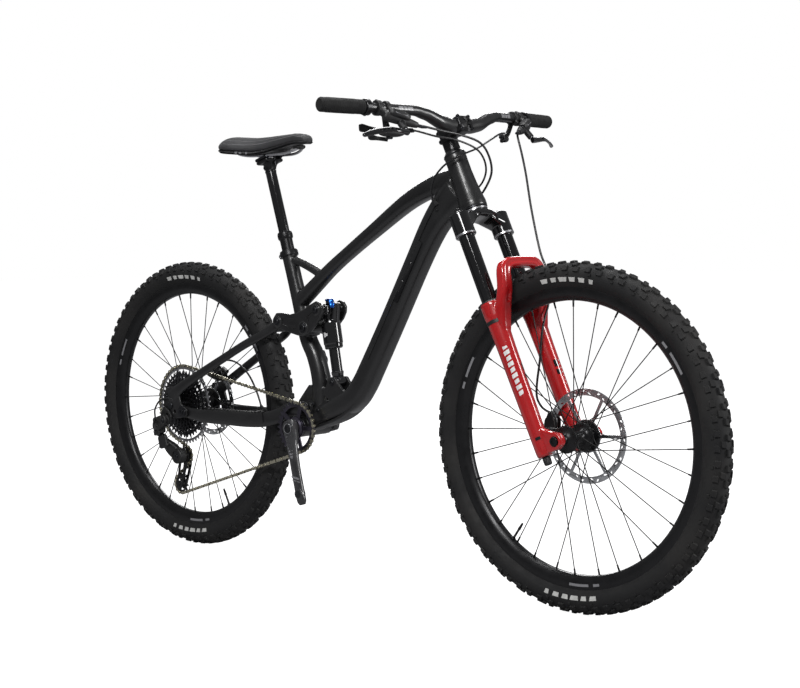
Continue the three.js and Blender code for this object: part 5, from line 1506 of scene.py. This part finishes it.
def make_frame_details():
    rings = Solid()
    rings.upright([(20, -0.4), (29.4, -0.4), (30, 0.2), (30, 3.4), (28, 4.2), (20, 4.2)], segments=72)
    rings.upright([(18, 132), (25.2, 132), (25.6, 133), (25.2, 134.4), (18, 134.4)], segments=72)
    piece("headset_rings", rings, "dark_alloy", "frame", matrix=STEERING)
    cups = Solid()
    for side in (-1, 1):
        profile = [(13, 44), (23.4, 44), (24, 45), (24, 49.4), (23, 50.6), (15, 51), (15, 49)]
        cups.lathe(BOTTOM_BRACKET, [(r, side * y) for r, y in profile], 64)
        for k in range(12):
            angle = TAU * k / 12
            x, z = polar(BOTTOM_BRACKET, 23.4, angle)
            cups.block((x, side * 47.5, z), (3, 4.4, 3), 0.6, Matrix.Rotation(-angle, 3, "Y"))
    piece("bracket_cups", cups, "dark_alloy", "frame")
    bolts = Solid()
    for side in (-1, 1):
        pivot_cap(bolts, MAIN_PIVOT, side * 32.4, side, 12)
        pivot_cap(bolts, SHOCK_EYE, side * 23.8, side, 8.5, 2.4)
    bolts.cross(SHOCK_EYE, -24, 24, 4.4, 20)
    for x, z in ((-138, 402), (-122, 388)):
        bolt(bolts, (x, -31.4, z), (0, -1, 0), 4, 2.2)
    for y in (-11, 11):
        bolt(bolts, (96, y, 622), (-0.78, 0, 0.62), 3, 2)
    piece("frame_bolts", bolts, "dark_alloy", "frame")
    guard = Solid().loft([
        (74, 0, 529, 40, 8), (40, 0, 477, 46, 9), (12, 0, 434, 50, 9), (-20, 0, 398, 54, 9),
        (-62, 0, 371, 58, 9),
        (-120, 0, 350, 60, 9), (-146, 0, 342, 50, 6)], sides=32, squareness=4)
    piece("tube_guard", guard, "matte_plastic", "frame")
    trims = Solid()
    for side in (-1, 1):
        trims.tube([(262, side * 25.4, 876), (230, side * 26.6, 828), (184, side * 26.4, 754),
                    (110, side * 26.2, 629),
                    (44, side * 27, 517)], 1.1, 8)
    for x, z in ((176, 730), (150, 688)):
        trims.block((x, -26.2, z), (30, 2.4, 5), 0.8, Matrix.Rotation(-1.03, 3, "Y"))
    piece("tube_ridges", trims, "frame_satin", "frame")
    plate = Solid()
    for side in (-1, 1):
        plate.loft([(212, side * 26, 790, 1, 16), (132, side * 26.4, 654, 1, 16)], (0, 1, 0), 16, 8, 3)
    piece("tube_panel", plate, "gloss_black", "frame")


# ---------------------------------------------------------------- rear suspension
def make_chainstay():
    skin = Solid()
    for side in (-1, 1):
        arm = [(-222, 38, 382, 11, 34), (-250, 46, 366, 13, 36), (-290, 55, 356, 15, 37),
               (-350, 61, 352, 16, 36),
               (-411, 64, 352, 16, 35), (-500, 68.6, 352, 12.5, 33), (-566, 69, 357, 10, 28)]
        skin.loft([(x, side * y, z, w, h) for x, y, z, w, h in arm], sides=36, squareness=3.2)
        near, far = sorted((side * 64.2, side * 73.6))
        skin.cross(HORST_PIVOT, near, far, 14, 40, 1.5)
        ahead = [(-222, 38, 382, 11, 34), (-190, 38.6, 388, 9.6, 32), (-160, 38.8, 392, 9, 30),
                 (-146, 38.8, 392, 8, 18)]
        skin.loft([(x, side * y, z, w, h) for x, y, z, w, h in ahead], sides=32, squareness=3)
    skin.loft([(-223, -40, 383, 26, 33), (-224, 0, 384, 24, 32), (-223, 40, 383, 26, 33)], (1, 0, 0), 32,
              3.4)
    piece("chainstay_skin", skin, "frame_satin", "lower_arm", ["chainstay"], sharp=60,
          voxel=1.4, relax=4)
    guard = Solid()
    cover = [(-286, 55, 362, 19, 30), (-320, 59, 359, 20, 31), (-411, 64, 358, 20, 30),
             (-470, 67, 358, 17, 27),
             (-500, 68.6, 358, 14, 22)]
    guard.loft([(x, -y, z, w, h) for x, y, z, w, h in cover], sides=32, squareness=3.4)
    for i in range(17):
        x = -298 - i * 11
        guard.block((x, -57.6 - i * 0.6, 375.6 - min(i, 3) * 1.1), (5.4, 17 - i * 0.2, 4.4), 1)
    piece("chainstay_guard", guard, "matte_plastic", "lower_arm")
    caps = Solid()
    for side in (-1, 1):
        pivot_cap(caps, HORST_PIVOT, side * 73.5, side, 10.5, 3.4)
        pivot_cap(caps, MAIN_PIVOT, side * 43.2, side, 13, 3.6)
    bolt(caps, (-246, 52.5, 364), (0.2, 1, 0), 3, 2)
    piece("chainstay_caps", caps, "dark_alloy", "lower_arm")


def make_seatstay():
    skin = Solid()
    for side in (-1, 1):
        arm = [(-232, 29, 605, 9.6, 26), (-262, 29, 590, 10, 25), (-285, 33, 577, 10, 23),
               (-310, 42, 562, 12, 22),
               (-360, 53, 538, 13, 21), (-420, 61, 507, 13, 21), (-480, 68, 476, 13, 22),
               (-570, 77, 428, 11, 26),
               (-625, 78, 392, 8, 40)]
        skin.loft([(x, side * y, z, w, h) for x, y, z, w, h in arm], sides=32, squareness=2.8)
        near, far = sorted((side * 24, side * 34.4))
        skin.cross(ROCKER_REAR, near, far, 14, 40, 1)
        near, far = sorted((side * 74.6, side * 80.8))
        skin.plate([(-650, 392), (-650, 365), (-644, 348), (-620, 341), (-586, 342), (-562, 346),
                    (-556, 354),
                    (-558, 366), (-580, 380), (-590, 408), (-604, 424), (-636, 420)], near, far,
                   [circle((-606, 358), 5, 20), circle((-634, 402), 4, 16)], 1.5)
    skin.rod((-288, -34, 577), (-288, 34, 577), 7, 28)
    skin.rod((-560, 62, 452), (-575, 60, 462), 8, 24)
    skin.loft([(-584, 74, 440, 12, 18), (-578, 66, 452, 14, 20), (-572, 60, 461, 12, 18)], (0, 0.6, 1),
              24)
    piece("seatstay_skin", skin, "frame_satin", "upper_arm", ["seatstay"], sharp=60,
          voxel=1.3, relax=4)
    axle = Solid()
    axle.cross(REAR_AXLE, -80, 83, 7.2, 32)
    axle.cross(REAR_AXLE, 81, 84.6, 10.4, 40, 0.8)
    bolt(axle, (REAR_AXLE[0], 84.2, REAR_AXLE[1]), (0, 1, 0), 7.4, 1.4)
    axle.cross(REAR_AXLE, -84, -80.6, 9.2, 40, 0.8)
    piece("rear_axle_rod", axle, "dark_alloy", "upper_arm", ["rear_axle"])
    covers = Solid()
    angles = [TAU * k / 72 for k in range(72)]
    scallop = [polar((-575, 360), 15 + 1.2 * math.cos(angle * 9), angle) for angle in angles]
    covers.plate(scallop, -83.4, -80.4, bevel=0.8)
    bolt(covers, (-575, -83, 360), (0, -1, 0), 7, 2.4)
    bolt(covers, (-636, -81, 398), (0, -1, 0), 3.4, 2)
    piece("dropout_covers", covers, "dark_alloy", "upper_arm")


ROCKER_OUTLINE = [
    (-262, 606), (-264, 592), (-254, 584), (-226, 578), (-200, 572), (-176, 567), (-154, 566),
    (-136, 572), (-118, 588),
    (-100, 606), (-91, 622), (-90, 636), (-98, 647), (-112, 651), (-130, 643), (-150, 632), (-176, 623),
    (-200, 618),
    (-230, 621), (-250, 620),
]


def make_rockers():
    for name, side in SIDES:
        near, far = sorted((side * 36.2, side * 44.6))
        skin = Solid().plate(ROCKER_OUTLINE, near, far, (), 2.6, 3)
        for place, radius in ((ROCKER_PIVOT, 15), (ROCKER_REAR, 13), (TRUNNION, 13)):
            near, far = sorted((side * 36.2, side * 46.6))
            skin.cross(place, near, far, radius, 40, 1)
        made = piece(f"rocker_skin_{name}", skin, "frame_satin", None, voxel=0.9, relax=3)
        near, far = sorted((side * 42, side * 60))
        for hollow in (
            [(-228, 592), (-206, 586), (-182, 584), (-176, 592), (-182, 606), (-200, 608), (-226, 608)],
            [(-140, 602), (-130, 604), (-116, 618), (-114, 624), (-122, 626), (-140, 614)],
        ):
            carve(made, Solid().plate(hollow, near, far, (), 1.2, 3))
        settle(made, "rocker", [f"rocker_{name}"], 60)
        caps = Solid()
        for place, radius, height in ((ROCKER_PIVOT, 12.4, 2.6), (ROCKER_REAR, 10, 2.4),
                                      (TRUNNION, 10, 2.4)):
            pivot_cap(caps, place, side * 46.4, side, radius, height)
        piece(f"rocker_bolts_{name}", caps, "dark_alloy", "rocker")
        bushings = Solid()
        for place, radius in ((ROCKER_REAR, 9), (TRUNNION, 8)):
            near, far = sorted((side * 34.6, side * 37))
            bushings.cross(place, near, far, radius, 32)
        piece(f"rocker_washers_{name}", bushings, "silver_alloy", "rocker")


def make_shock():
    length = SHOCK_LENGTH
    body = Solid()
    body.rod((0, -15, 0), (0, 15, 0), 12, 40, chamfer=1)
    body.loft([(0, 0, 4, 26, 22), (0, 0, 14, 26, 24), (0, 0, 22, 28, 28)], sides=32, squareness=2.6)
    body.upright([(0.01, 18), (13.2, 20), (13.2, length - 90), (0.01, length - 90)], segments=64)
    piece("shock_shaft", body, "gloss_black", "shock_lower", ["shock_body"], sharp=30,
          matrix=SHOCK)
    ring = Solid().upright([(13.4, 22.6), (14.9, 22.6), (15.2, 24), (14.9, 25.4), (13.4, 25.4)])
    piece("shock_ring", ring, "matte_plastic", "shock_lower", matrix=SHOCK)
    spacers = Solid()
    for side in (-1, 1):
        spacers.rod((0, side * 15, 0), (0, side * 16.2, 0), 8, 28)
    piece("shock_spacers", spacers, "silver_alloy", "shock_lower", matrix=SHOCK)
    can = Solid()
    can.upright([(14.9, length - 96), (19, length - 97), (21.4, length - 95), (22, length - 92),
                 (22, length - 86),
                 (23.4, length - 84), (23.4, length - 34), (22, length - 29), (18, length - 26),
                 (14.9, length - 26)],
                segments=72)
    can.upright([(0.01, length - 30), (17, length - 30), (17.6, length - 14), (0.01, length - 12)])
    can.block((1, 0, length - 1), (32, 50, 25), 4)
    can.rod((12, 0, length - 34), (25, 0, length + 12), 12.2, 40, chamfer=2)
    for side in (-1, 1):
        can.rod((0, side * 20, length), (0, side * 28, length), 11, 36, chamfer=1)
    piece("shock_can", can, "gloss_black", "shock_upper", ["shock_air_can"], sharp=40,
          voxel=1.0, relax=2,
          matrix=SHOCK)
    marks = Solid()
    for k, turn in enumerate((262, 272, 282, 82, 92, 102)):
        angle = math.radians(turn)
        marks.block((23.4 * math.cos(angle), 23.4 * math.sin(angle), length - 62),
                    (0.8, 3.4, 12 - (k % 3) * 3), 0.2,
                    Matrix.Rotation(angle, 3, "Z"))
    piece("shock_marks", marks, "graphic_white", "shock_upper", matrix=SHOCK)
    valve = Solid()
    valve.rod((-14, 0, length + 4), (-24, 0, length + 9), 4, 20, chamfer=0.8)
    bolt(valve, (6, -25, length - 1), (0, -1, 0), 2.6, 1.6)
    valve.upright([(0.01, length + 11), (8, length + 11), (8, length + 16), (7, length + 17.4),
                   (0.01, length + 17.4)], 18, -14)
    piece("shock_fittings", valve, "dark_alloy", "shock_upper", matrix=SHOCK)
    lever = Solid()
    lever.upright([(0.01, length + 17.6), (8.8, length + 17.6), (9, length + 18), (9, length + 21.4),
                   (8, length + 22), (0.01, length + 22)],
                  18, -14)
    lever.loft([(20, -15, length + 19.6, 13, 4), (30, -20, length + 19, 13, 5),
                (37, -25, length + 14, 13, 6),
                (40, -28, length + 5, 12, 6), (40.5, -29, length - 2, 8, 4)], (0.6, 0.8, 0), 24, 3)
    piece("lockout_paddle", lever, "blue_alloy", "lockout_lever", ["shock_lockout_lever"],
          matrix=SHOCK)


# ---------------------------------------------------------------- cranks, cogs and chain
CRANK_WAY = Vector((47, 0, -163)).normalized()
CRANK_LINE = [(-20, 70, 14, 28), (-10, 70, 20, 40), (14, 71, 20, 40), (40, 76, 16, 31),
              (75, 79.4, 14.4, 28), (110, 82, 14, 27),
              (162, 84, 14, 27), (178, 84, 14, 25), (187, 84, 12, 14)]
JOCKEY_UPPER = (-622, 238)
JOCKEY_LOWER = (-641, 160)
COG_TEETH = [50, 42, 36, 32, 28, 24, 21, 18, 16, 14, 12, 10]
COG_Y = -33
COG_SPACING = 3.3
RING_Y = -52
RING_TEETH = 30
JOCKEY_TEETH = 12
OUTER_LINK = (2.45, 4.3)  # a side plate's distance from the middle, and the radius of its ends
INNER_LINK = (1.7, 3.7)
LINK_THICKNESS = 0.75
ROLLER = (1.4, 3.85, 14)  # half length, radius, sides
PIN = (3.1, 1.8, 10)


def pitch_radius(teeth):
    return CHAIN_PITCH / (2 * math.sin(math.pi / teeth))


def sprocket(centre, teeth, phase=0.0, wide=False):
    """The outline of a sprocket; a chain roller lies at `phase`, and every second tooth may be wide."""
    pitch = pitch_radius(teeth)
    step = TAU / teeth
    points = []
    for k in range(teeth):
        base = phase + TAU * k / teeth
        half = 0.1 * (1.25 if wide and k % 2 else 1.0)
        for share, reach in ((-0.14, -3.4), (0, -4.0), (0.14, -3.4), (0.3, -0.4), (0.5 - half, 3.2),
                             (0.5 + half, 3.2), (0.7, -0.4)):
            points.append(polar(centre, pitch + reach, base + share * step))
    return points


def chain_path():
    """The chain's zones in order: the arc on each pulley, and after it the straight run to the next."""
    pulleys = [(REAR_AXLE, COG_TEETH[0], -1, COG_Y), (BOTTOM_BRACKET, RING_TEETH, -1, RING_Y),
               (JOCKEY_LOWER, JOCKEY_TEETH, -1, COG_Y), (JOCKEY_UPPER, JOCKEY_TEETH, 1, COG_Y)]
    runs = []
    for i, (a, teeth_a, turn_a, y_a) in enumerate(pulleys):
        b, teeth_b, turn_b, y_b = pulleys[(i + 1) % 4]
        ra, rb = turn_a * pitch_radius(teeth_a), turn_b * pitch_radius(teeth_b)
        heading = math.atan2(b[1] - a[1], b[0] - a[0]) - math.asin((rb - ra) / math.dist(a, b))
        right = (math.sin(heading), -math.cos(heading))
        runs.append(((a[0] + ra * right[0], y_a, a[1] + ra * right[1]),
                     (b[0] + rb * right[0], y_b, b[1] + rb * right[1])))
    zones = []
    for i, (centre, teeth, turn, y) in enumerate(pulleys):
        enter, leave = runs[i - 1][1], runs[i][0]
        start = math.atan2(enter[2] - centre[1], enter[0] - centre[0])
        end = math.atan2(leave[2] - centre[1], leave[0] - centre[0])
        sweep = ((end - start) * turn) % TAU * turn
        radius = pitch_radius(teeth)
        steps = max(4, int(abs(sweep) * radius / 2))
        arc = [polar(centre, radius, start + sweep * k / steps) for k in range(steps + 1)]
        zones.append([(x, y, z) for x, z in arc])
        zones.append(list(runs[i]))
    return zones


def chain_joints():
    """The chain's rollers, evenly spaced along its path, with the zone each lies in."""
    points, owners = [], []
    for index, zone in enumerate(chain_path()):
        for point in zone[:-1]:
            points.append(Vector(point))
            owners.append(index)
    lengths = [(points[(i + 1) % len(points)] - p).length for i, p in enumerate(points)]
    total = sum(lengths)
    count = 2 * round(total / CHAIN_PITCH / 2)
    joints, at, i = [], 0.0, 0
    for k in range(count):
        goal = total * k / count
        while at + lengths[i] < goal:
            at += lengths[i]
            i += 1
        joints.append((points[i].lerp(points[(i + 1) % len(points)], (goal - at) / lengths[i]),
                       owners[i]))
    return joints


def link_side(solid, a, b, shift, thickness, radius):
    """One waisted side plate of a link."""
    along = (b - a).normalized()
    across = Vector((0, 1, 0))
    up = along.cross(across).normalized()
    across = up.cross(along)
    outline = []
    for end, way in ((b, 1), (a, -1)):
        for k in range(7):
            angle = -math.pi / 2 + math.pi * k / 6
            outline.append(end + (along * math.cos(angle) + up * math.sin(angle)) * radius * way)
        outline.append((a + b) / 2 + up * radius * 0.5 * way)
    rings = [[p + across * (shift + offset) for p in outline] for offset in (-thickness / 2,
                                                                             thickness / 2)]
    solid.rings(rings)


# The groups of links in each zone, each with the least x of its links' middles.
ANYWHERE = -math.inf
CHAIN_GROUPS = [
    [("cassette", ANYWHERE)],
    [("top_front", -410), ("top_rear", ANYWHERE)],
    [("ring", ANYWHERE)],
    [("low_a", -330), ("low_b", -480), ("low_c", -560), ("low_d", ANYWHERE)],
    [("cage", ANYWHERE)],
    [("cage", ANYWHERE)],
    [("jockey", ANYWHERE)],
    [("rise", ANYWHERE)],
]
CHAIN_RIDES = {"cassette": "upper_arm", "ring": "frame", "cage": "cage", "jockey": "derailleur_outer"}
CHAIN_BENDS = {
    "top_front": ("frame", "lower_arm", (-190, -51, 404), (-400, -42, 438)),
    "top_rear": ("lower_arm", "upper_arm", (-430, -41, 443), (-600, -34, 470)),
    "low_a": ("frame", "lower_arm", (-190, -51, 285), (-320, -47, 253)),
    "low_b": ("lower_arm", "upper_arm", (-335, -46, 250), (-475, -41, 213)),
    "low_c": ("upper_arm", "derailleur_outer", (-485, -40, 210), (-555, -37, 188)),
    "low_d": ("derailleur_outer", "cage", (-565, -36, 185), (-630, -33, 140)),
    "rise": ("derailleur_outer", "upper_arm", (-618, -33, 245), (-606, -33, 272)),
}


def make_chain():
    """Outer and inner links in turn, gathered in groups that each ride on a body, or are fixed in place
    where they run between bodies.
    """
    joints = chain_joints()
    groups, inner_faces = {}, {}
    across = Vector((0, 1, 0))
    for i, (a, zone) in enumerate(joints):
        b = joints[(i + 1) % len(joints)][0]
        key = next(name for name, least in CHAIN_GROUPS[zone] if ((a + b) / 2).x > least)
        solid = groups.setdefault(key, Solid())
        before = len(solid.faces)
        offset, radius = OUTER_LINK if i % 2 else INNER_LINK
        for side in (-1, 1):
            link_side(solid, a, b, side * offset, LINK_THICKNESS, radius)
        if i % 2 == 0:
            inner_faces.setdefault(key, []).append((before, len(solid.faces)))
        for half, reach, sides in (ROLLER, PIN):
            solid.rod(a - across * half, a + across * half, reach, sides)
    for key, solid in groups.items():
        made = piece(f"chain_{key}", solid, "chain_nickel", CHAIN_RIDES.get(key),
                     ["chain"], sharp=40)
        made.data.materials.append(MATERIALS["chain_dark"])
        for first, last in inner_faces.get(key, ()):
            for polygon in made.data.polygons[first:last]:
                polygon.material_index = 1
        if key in CHAIN_BENDS:
            a, b, start, end = CHAIN_BENDS[key]
            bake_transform(made)


def arc_phase(zone, centre):
    """The angle of a roller that lies on one pulley's arc."""
    for point, owner in chain_joints():
        if owner == zone:
            return math.atan2(point.z - centre[1], point.x - centre[0])
    return 0.0


def make_cassette():
    dark, bright = Solid(), Solid()
    for i, teeth in enumerate(COG_TEETH):
        y = COG_Y - COG_SPACING * i
        pitch = pitch_radius(teeth)
        phase = arc_phase(0, REAR_AXLE) if i == 0 else 0.3 * i
        holes = [circle(REAR_AXLE, 17, 40)]
        inner = pitch_radius(COG_TEETH[i + 1]) - 9 if i + 1 < len(COG_TEETH) else 0
        arms = 12 if i < 2 else 10 if i < 4 else 8
        if inner > 24:
            holes += [window(REAR_AXLE, max(21, inner), pitch - 9.5, TAU * (k + 0.12 * i) / arms,
                             math.pi / arms, 2.0)
                      for k in range(arms)]
        if inner > 44:
            holes += [window(REAR_AXLE, 23, inner - 6, TAU * (k + 0.5) / 6, math.pi / 6,
                             4.0) for k in range(6)]
        target = bright if i == 0 else dark
        target.plate(sprocket(REAR_AXLE, teeth, phase), y - 0.9, y + 0.9, holes, 0.25, 1)
    for i in range(1, len(COG_TEETH)):
        y = COG_Y - COG_SPACING * (i - 0.5)
        reach = max(18.6, min(pitch_radius(COG_TEETH[i]) - 12, 60 if i < 5 else 22))
        for k in range(10):
            angle = TAU * k / 10 + 0.2
            dark.cross(polar(REAR_AXLE, reach, angle), y - 1.4, y + 1.4, 1.8, 10)
    dark.lathe(REAR_AXLE, [(16.4, -30), (19.4, -30), (19.4, -69.6), (16.4, -69.6)], 48)
    dark.lathe(REAR_AXLE, [(9, -69.4), (17, -69.4), (17, -71), (15, -72), (9, -72)], 48)
    piece("cassette_cogs", dark, "cog_dark", "cogs", ["cassette"], sharp=30)
    piece("cassette_large_cog", bright, "cog_silver", "cogs", sharp=30)


def make_chainring():
    ring = Solid()
    arms = 5
    holes = [window(BOTTOM_BRACKET, 27, 50, TAU * (k + 0.5) / arms, math.pi / arms,
                    5.5) for k in range(arms)]
    phase = arc_phase(2, BOTTOM_BRACKET)
    ring.plate(sprocket(BOTTOM_BRACKET, RING_TEETH, phase, True), RING_Y - 1.9, RING_Y + 1.9,
               [circle(BOTTOM_BRACKET, 15, 32), *holes], 0.5)
    ring.lathe(BOTTOM_BRACKET, [(15, -54), (25, -54), (25, -57), (21, -60), (15, -60)], 64)
    piece("chainring_plate", ring, "ring_violet", "crankset", ["chainring"], sharp=30)


def make_crank_arm(name, way, out):
    """One crank: `way` runs from the axle to the pedal and `out` away from the bike."""
    base = Vector((BOTTOM_BRACKET[0], 0, BOTTOM_BRACKET[1]))
    face = base + way * 160
    edge = way.cross(Vector((0, 1, 0))).normalized()
    skin = Solid()
    skin.loft([(*(base + way * reach + out * y), thick, wide) for reach, y, thick, wide in CRANK_LINE],
              (0, 1, 0), 36, 3.2)
    skin.rod(face + out * 78, face + out * 92, 13, 40, chamfer=0.8)
    skin.rod(base + out * 60, base + out * 80, 19.5, 48, chamfer=1.5)
    made = piece(f"crank_skin_{name}", skin, "crank_black", None, voxel=1.0, relax=3)
    carve(made, Solid().rod(face + out * 70, face + out * 76.6, 12.6, 40))
    hollow = [(*(base + way * reach + out * (y - 9)), 8, wide)
              for reach, y, wide in ((34, 75, 14), (80, 79.6, 13), (128, 83, 11))]
    carve(made, Solid().loft(hollow, (0, 1, 0), 20, 3))
    settle(made, "crankset", [f"crank_arm_{name}"], 50)
    trim = Solid()
    trim.rod(base + out * 79, base + out * 81, 14, 48, chamfer=0.5)
    bolt(trim, base + out * 80.6, out, 10.4, 2.4)
    piece(f"crank_trim_{name}", trim, "dark_alloy", "crankset")
    line = ring_round(base + out * 80.9, way, way.cross(Vector((0, 1, 0))), 12, 40)
    hoop = Solid().rings(tube_rings([*line, line[0]], 0.9, 8))
    piece(f"crank_hoop_{name}", hoop, "silver_alloy", "crankset")
    pedal_hole = Solid().rod(face + out * 91, face + out * 92.1, 9.4, 36, chamfer=0.3)
    piece(f"crank_pedal_insert_{name}", pedal_hole, "dark_alloy", "crankset")
    panel = Solid()
    for reach, half, y in ((20, 11, 81.4), (27, 11.6, 82), (34, 11.4, 82.8), (41, 10.4, 83.6),
                           (48, 9.2, 84.4), (55, 7.6, 85.2), (62, 5.6, 85.9), (69, 3.4, 86.6)):
        for k in range(3):
            place = base + way * (reach + (k % 2) * 2.6) + edge * (k - 1) * half * 0.62 + out * y
            panel.rod(place - out * 1.4, place, 2.6 - k * 0.5, 10)
    piece(f"crank_speckle_{name}", panel, "silver_alloy", "crankset")
    marks = Solid()
    for reach, wide in ((118, 5), (127, 2.4)):
        start = base + way * reach + out * 89.3
        low = [start + edge * e * 11.6 + way * (e * 5 + t) for e,
               t in ((-1, 0), (1, 0), (1, wide), (-1, wide))]
        marks.rings([low, [p + out * 0.5 for p in low]])
    piece(f"crank_marks_{name}", marks, "graphic_grey", "crankset")


def make_crankset():
    make_chainring()
    for name, side in SIDES:
        make_crank_arm(name, CRANK_WAY * (-side), Vector((0, side, 0)))
    spindle = Solid().cross(BOTTOM_BRACKET, -64, 64, 14.6, 48)
    piece("crank_spindle", spindle, "dark_alloy", "crankset")


def make_derailleur_body():
    skin = Solid()
    skin.plate([(-640, 372), (-622, 360), (-610, 345), (-616, 324), (-640, 320), (-653, 334),
                (-654, 350)], -88, -81.4,
               [circle((-628, 350), 3.4, 16)], 1.2)
    skin.loft([(-634, -92, 334, 24, 32), (-650, -96, 326, 22, 36), (-662, -93, 316, 19, 32),
               (-667, -88, 306, 16, 24)],
              (0, 1, 0), 32, 3)
    skin.cross((-634, 334), -100, -81.5, 13.6, 40, 1.5)
    made = piece("derailleur_shell", skin, "matte_plastic", None, voxel=0.9, relax=2)
    carve(made, Solid().block((-648, -107, 327), (20, 12, 16), 2, Matrix.Rotation(0.5, 3, "Y")))
    settle(made, "upper_arm", ["derailleur_body"], 40)
    trim = Solid()
    bolt(trim, (-634, -99.6, 334), (0, -1, 0), 8.4, 3)
    for x, z in ((-653, 334), (-660, 308)):
        trim.rod((x, -104, z), (x, -82, z), 2.6, 16, chamfer=0.4)
    trim.rod((-665, -99, 341), (-662, -97, 332), 4, 20, 3.4, chamfer=0.5)
    for x in (-648, -642):
        bolt(trim, (x, -94, 352), (-0.2, 0, 1), 2, 2.4)
    piece("derailleur_trim", trim, "dark_alloy", "upper_arm")
    pin = Solid().rod((-668, -101, 302), (-650, -101, 322), 1.6, 12)
    piece("derailleur_pin", pin, "silver_alloy", "upper_arm")


def make_knuckle():
    """The knuckle, its face and the covers and links that join it to the body."""
    knuckle = Solid()
    knuckle.loft([(-662, -80, 296, 13, 18), (-660, -78, 284, 14, 24), (-654, -66, 268, 18, 31),
                  (-644, -60, 256, 20, 38),
                  (-630, -56, 244, 20, 38)], (0, 1, 0), 32, 3)
    knuckle.cross(JOCKEY_UPPER, -66, -44, 20, 48, 2)
    part = piece("derailleur_cage_knuckle", knuckle, "matte_plastic", None, voxel=0.9, relax=2)
    carve(part, Solid().cross(JOCKEY_UPPER, -70, -64.4, 14, 40))
    settle(part, "derailleur_outer", ["derailleur_knuckle"], 40)
    face = Solid()
    face.cross(JOCKEY_UPPER, -65.4, -64, 13.4, 48, 0.4)
    bolt(face, (JOCKEY_UPPER[0], -65.2, JOCKEY_UPPER[1]), (0, -1, 0), 6, 2)
    face.block((-650, -77.6, 270), (14, 1.6, 4), 0.4, Matrix.Rotation(0.9, 3, "Y"))
    piece("derailleur_face", face, "dark_alloy", "derailleur_outer")
    cover = Solid()
    cover.block((-661, -97, 316), (24, 6, 46), 2.4, Matrix.Rotation(-0.1, 3, "Y"))
    cover.block((-658, -87, 318), (30, 16, 38), 3, Matrix.Rotation(-0.1, 3, "Y"))
    cover.block((-655, -80, 276), (34, 10, 34), 3, Matrix.Rotation(-0.28, 3, "Y"))
    piece("derailleur_covers", cover, "matte_plastic", "upper_arm", voxel=1.0, relax=2)
    links = Solid()
    for y in (-95, -83):
        links.rod((-664, y, 311), (-662, y + 7, 292), 4.6, 20, chamfer=0.6)
    links.rod((-667, -96, 306), (-659, -78, 290), 2.2, 12)
    piece("derailleur_links", links, "dark_alloy", "upper_arm")


def make_cage():
    """Two cage plates; `at` gives a point along the line between the jockey wheels and across it."""
    cage = Solid()
    upper, lower = Vector(JOCKEY_UPPER), Vector(JOCKEY_LOWER)
    way = (lower - upper).normalized()
    edge = Vector((way.y, -way.x))

    def at(along, out):
        point = upper + way * along + edge * out
        return (point.x, point.y)

    span = (lower - upper).length
    outline = [at(-15, -8), at(-15, 8), at(-8, 15), at(6, 17), at(24, 12), at(span - 20, 10),
               at(span - 6, 13), at(span + 8, 11),
               at(span + 15, 0), at(span + 8, -11), at(span - 6, -14), at(span - 22, -16), at(22, -20),
               at(4, -17), at(-9, -14)]
    openings = [[at(18, -11), at(18, 4), at(span - 26, 4), at(span - 26, -8)],
                [at(span - 19, -6), at(span - 17, 4), at(span - 9, 5), at(span - 9, -6)],
                circle(at(0, 0), 4, 16), circle(at(span, 0), 3.6, 16)]
    for low, high in ((-42, -39.6), (-26.4, -24)):
        cage.plate(outline, low, high, openings, 0.5)
    for place in (JOCKEY_UPPER, JOCKEY_LOWER):
        cage.cross(place, -43.6, -22.6, 4, 24, 0.5)
    cage.cross(at(30, -17), -41, -25, 2, 14)
    piece("derailleur_cage_plates", cage, "black_anodised", "cage", ["derailleur_cage"],
          sharp=30)


def make_jockeys():
    for name, place, zone in (("upper", JOCKEY_UPPER, 6), ("lower", JOCKEY_LOWER, 4)):
        wheel = Solid()
        wheel.plate(sprocket(place, JOCKEY_TEETH, arc_phase(zone, place), True), -34.6, -31.4,
                    [circle(place, 4.6, 20), *[window(place, 9.5, 16, TAU * k / 5, math.pi / 5,
                                                      2) for k in range(5)]], 0.4)
        wheel.lathe(place, [(4.4, -37), (8.6, -37), (9, -36), (9, -30), (8.6, -29), (4.4, -29)], 32)
        piece(f"jockey_{name}", wheel, "matte_plastic", f"{name}_jockey",
              [f"jockey_wheel_{name}"], sharp=30)


def make_derailleur():
    make_derailleur_body()
    make_knuckle()
    make_cage()
    make_jockeys()


# ---------------------------------------------------------------- build
make_camera()
make_stage()
make_materials()
make_wheels()
make_main_frame()
make_fork()
make_stem()
make_handlebar()
make_brake("right", -1)
make_brake("left", 1)
make_shifter()
make_remote()
make_hoses()
make_saddle()
make_post()
make_frame_details()
make_chainstay()
make_seatstay()
make_rockers()
make_shock()
make_chain()
make_cassette()
make_crankset()
make_derailleur()
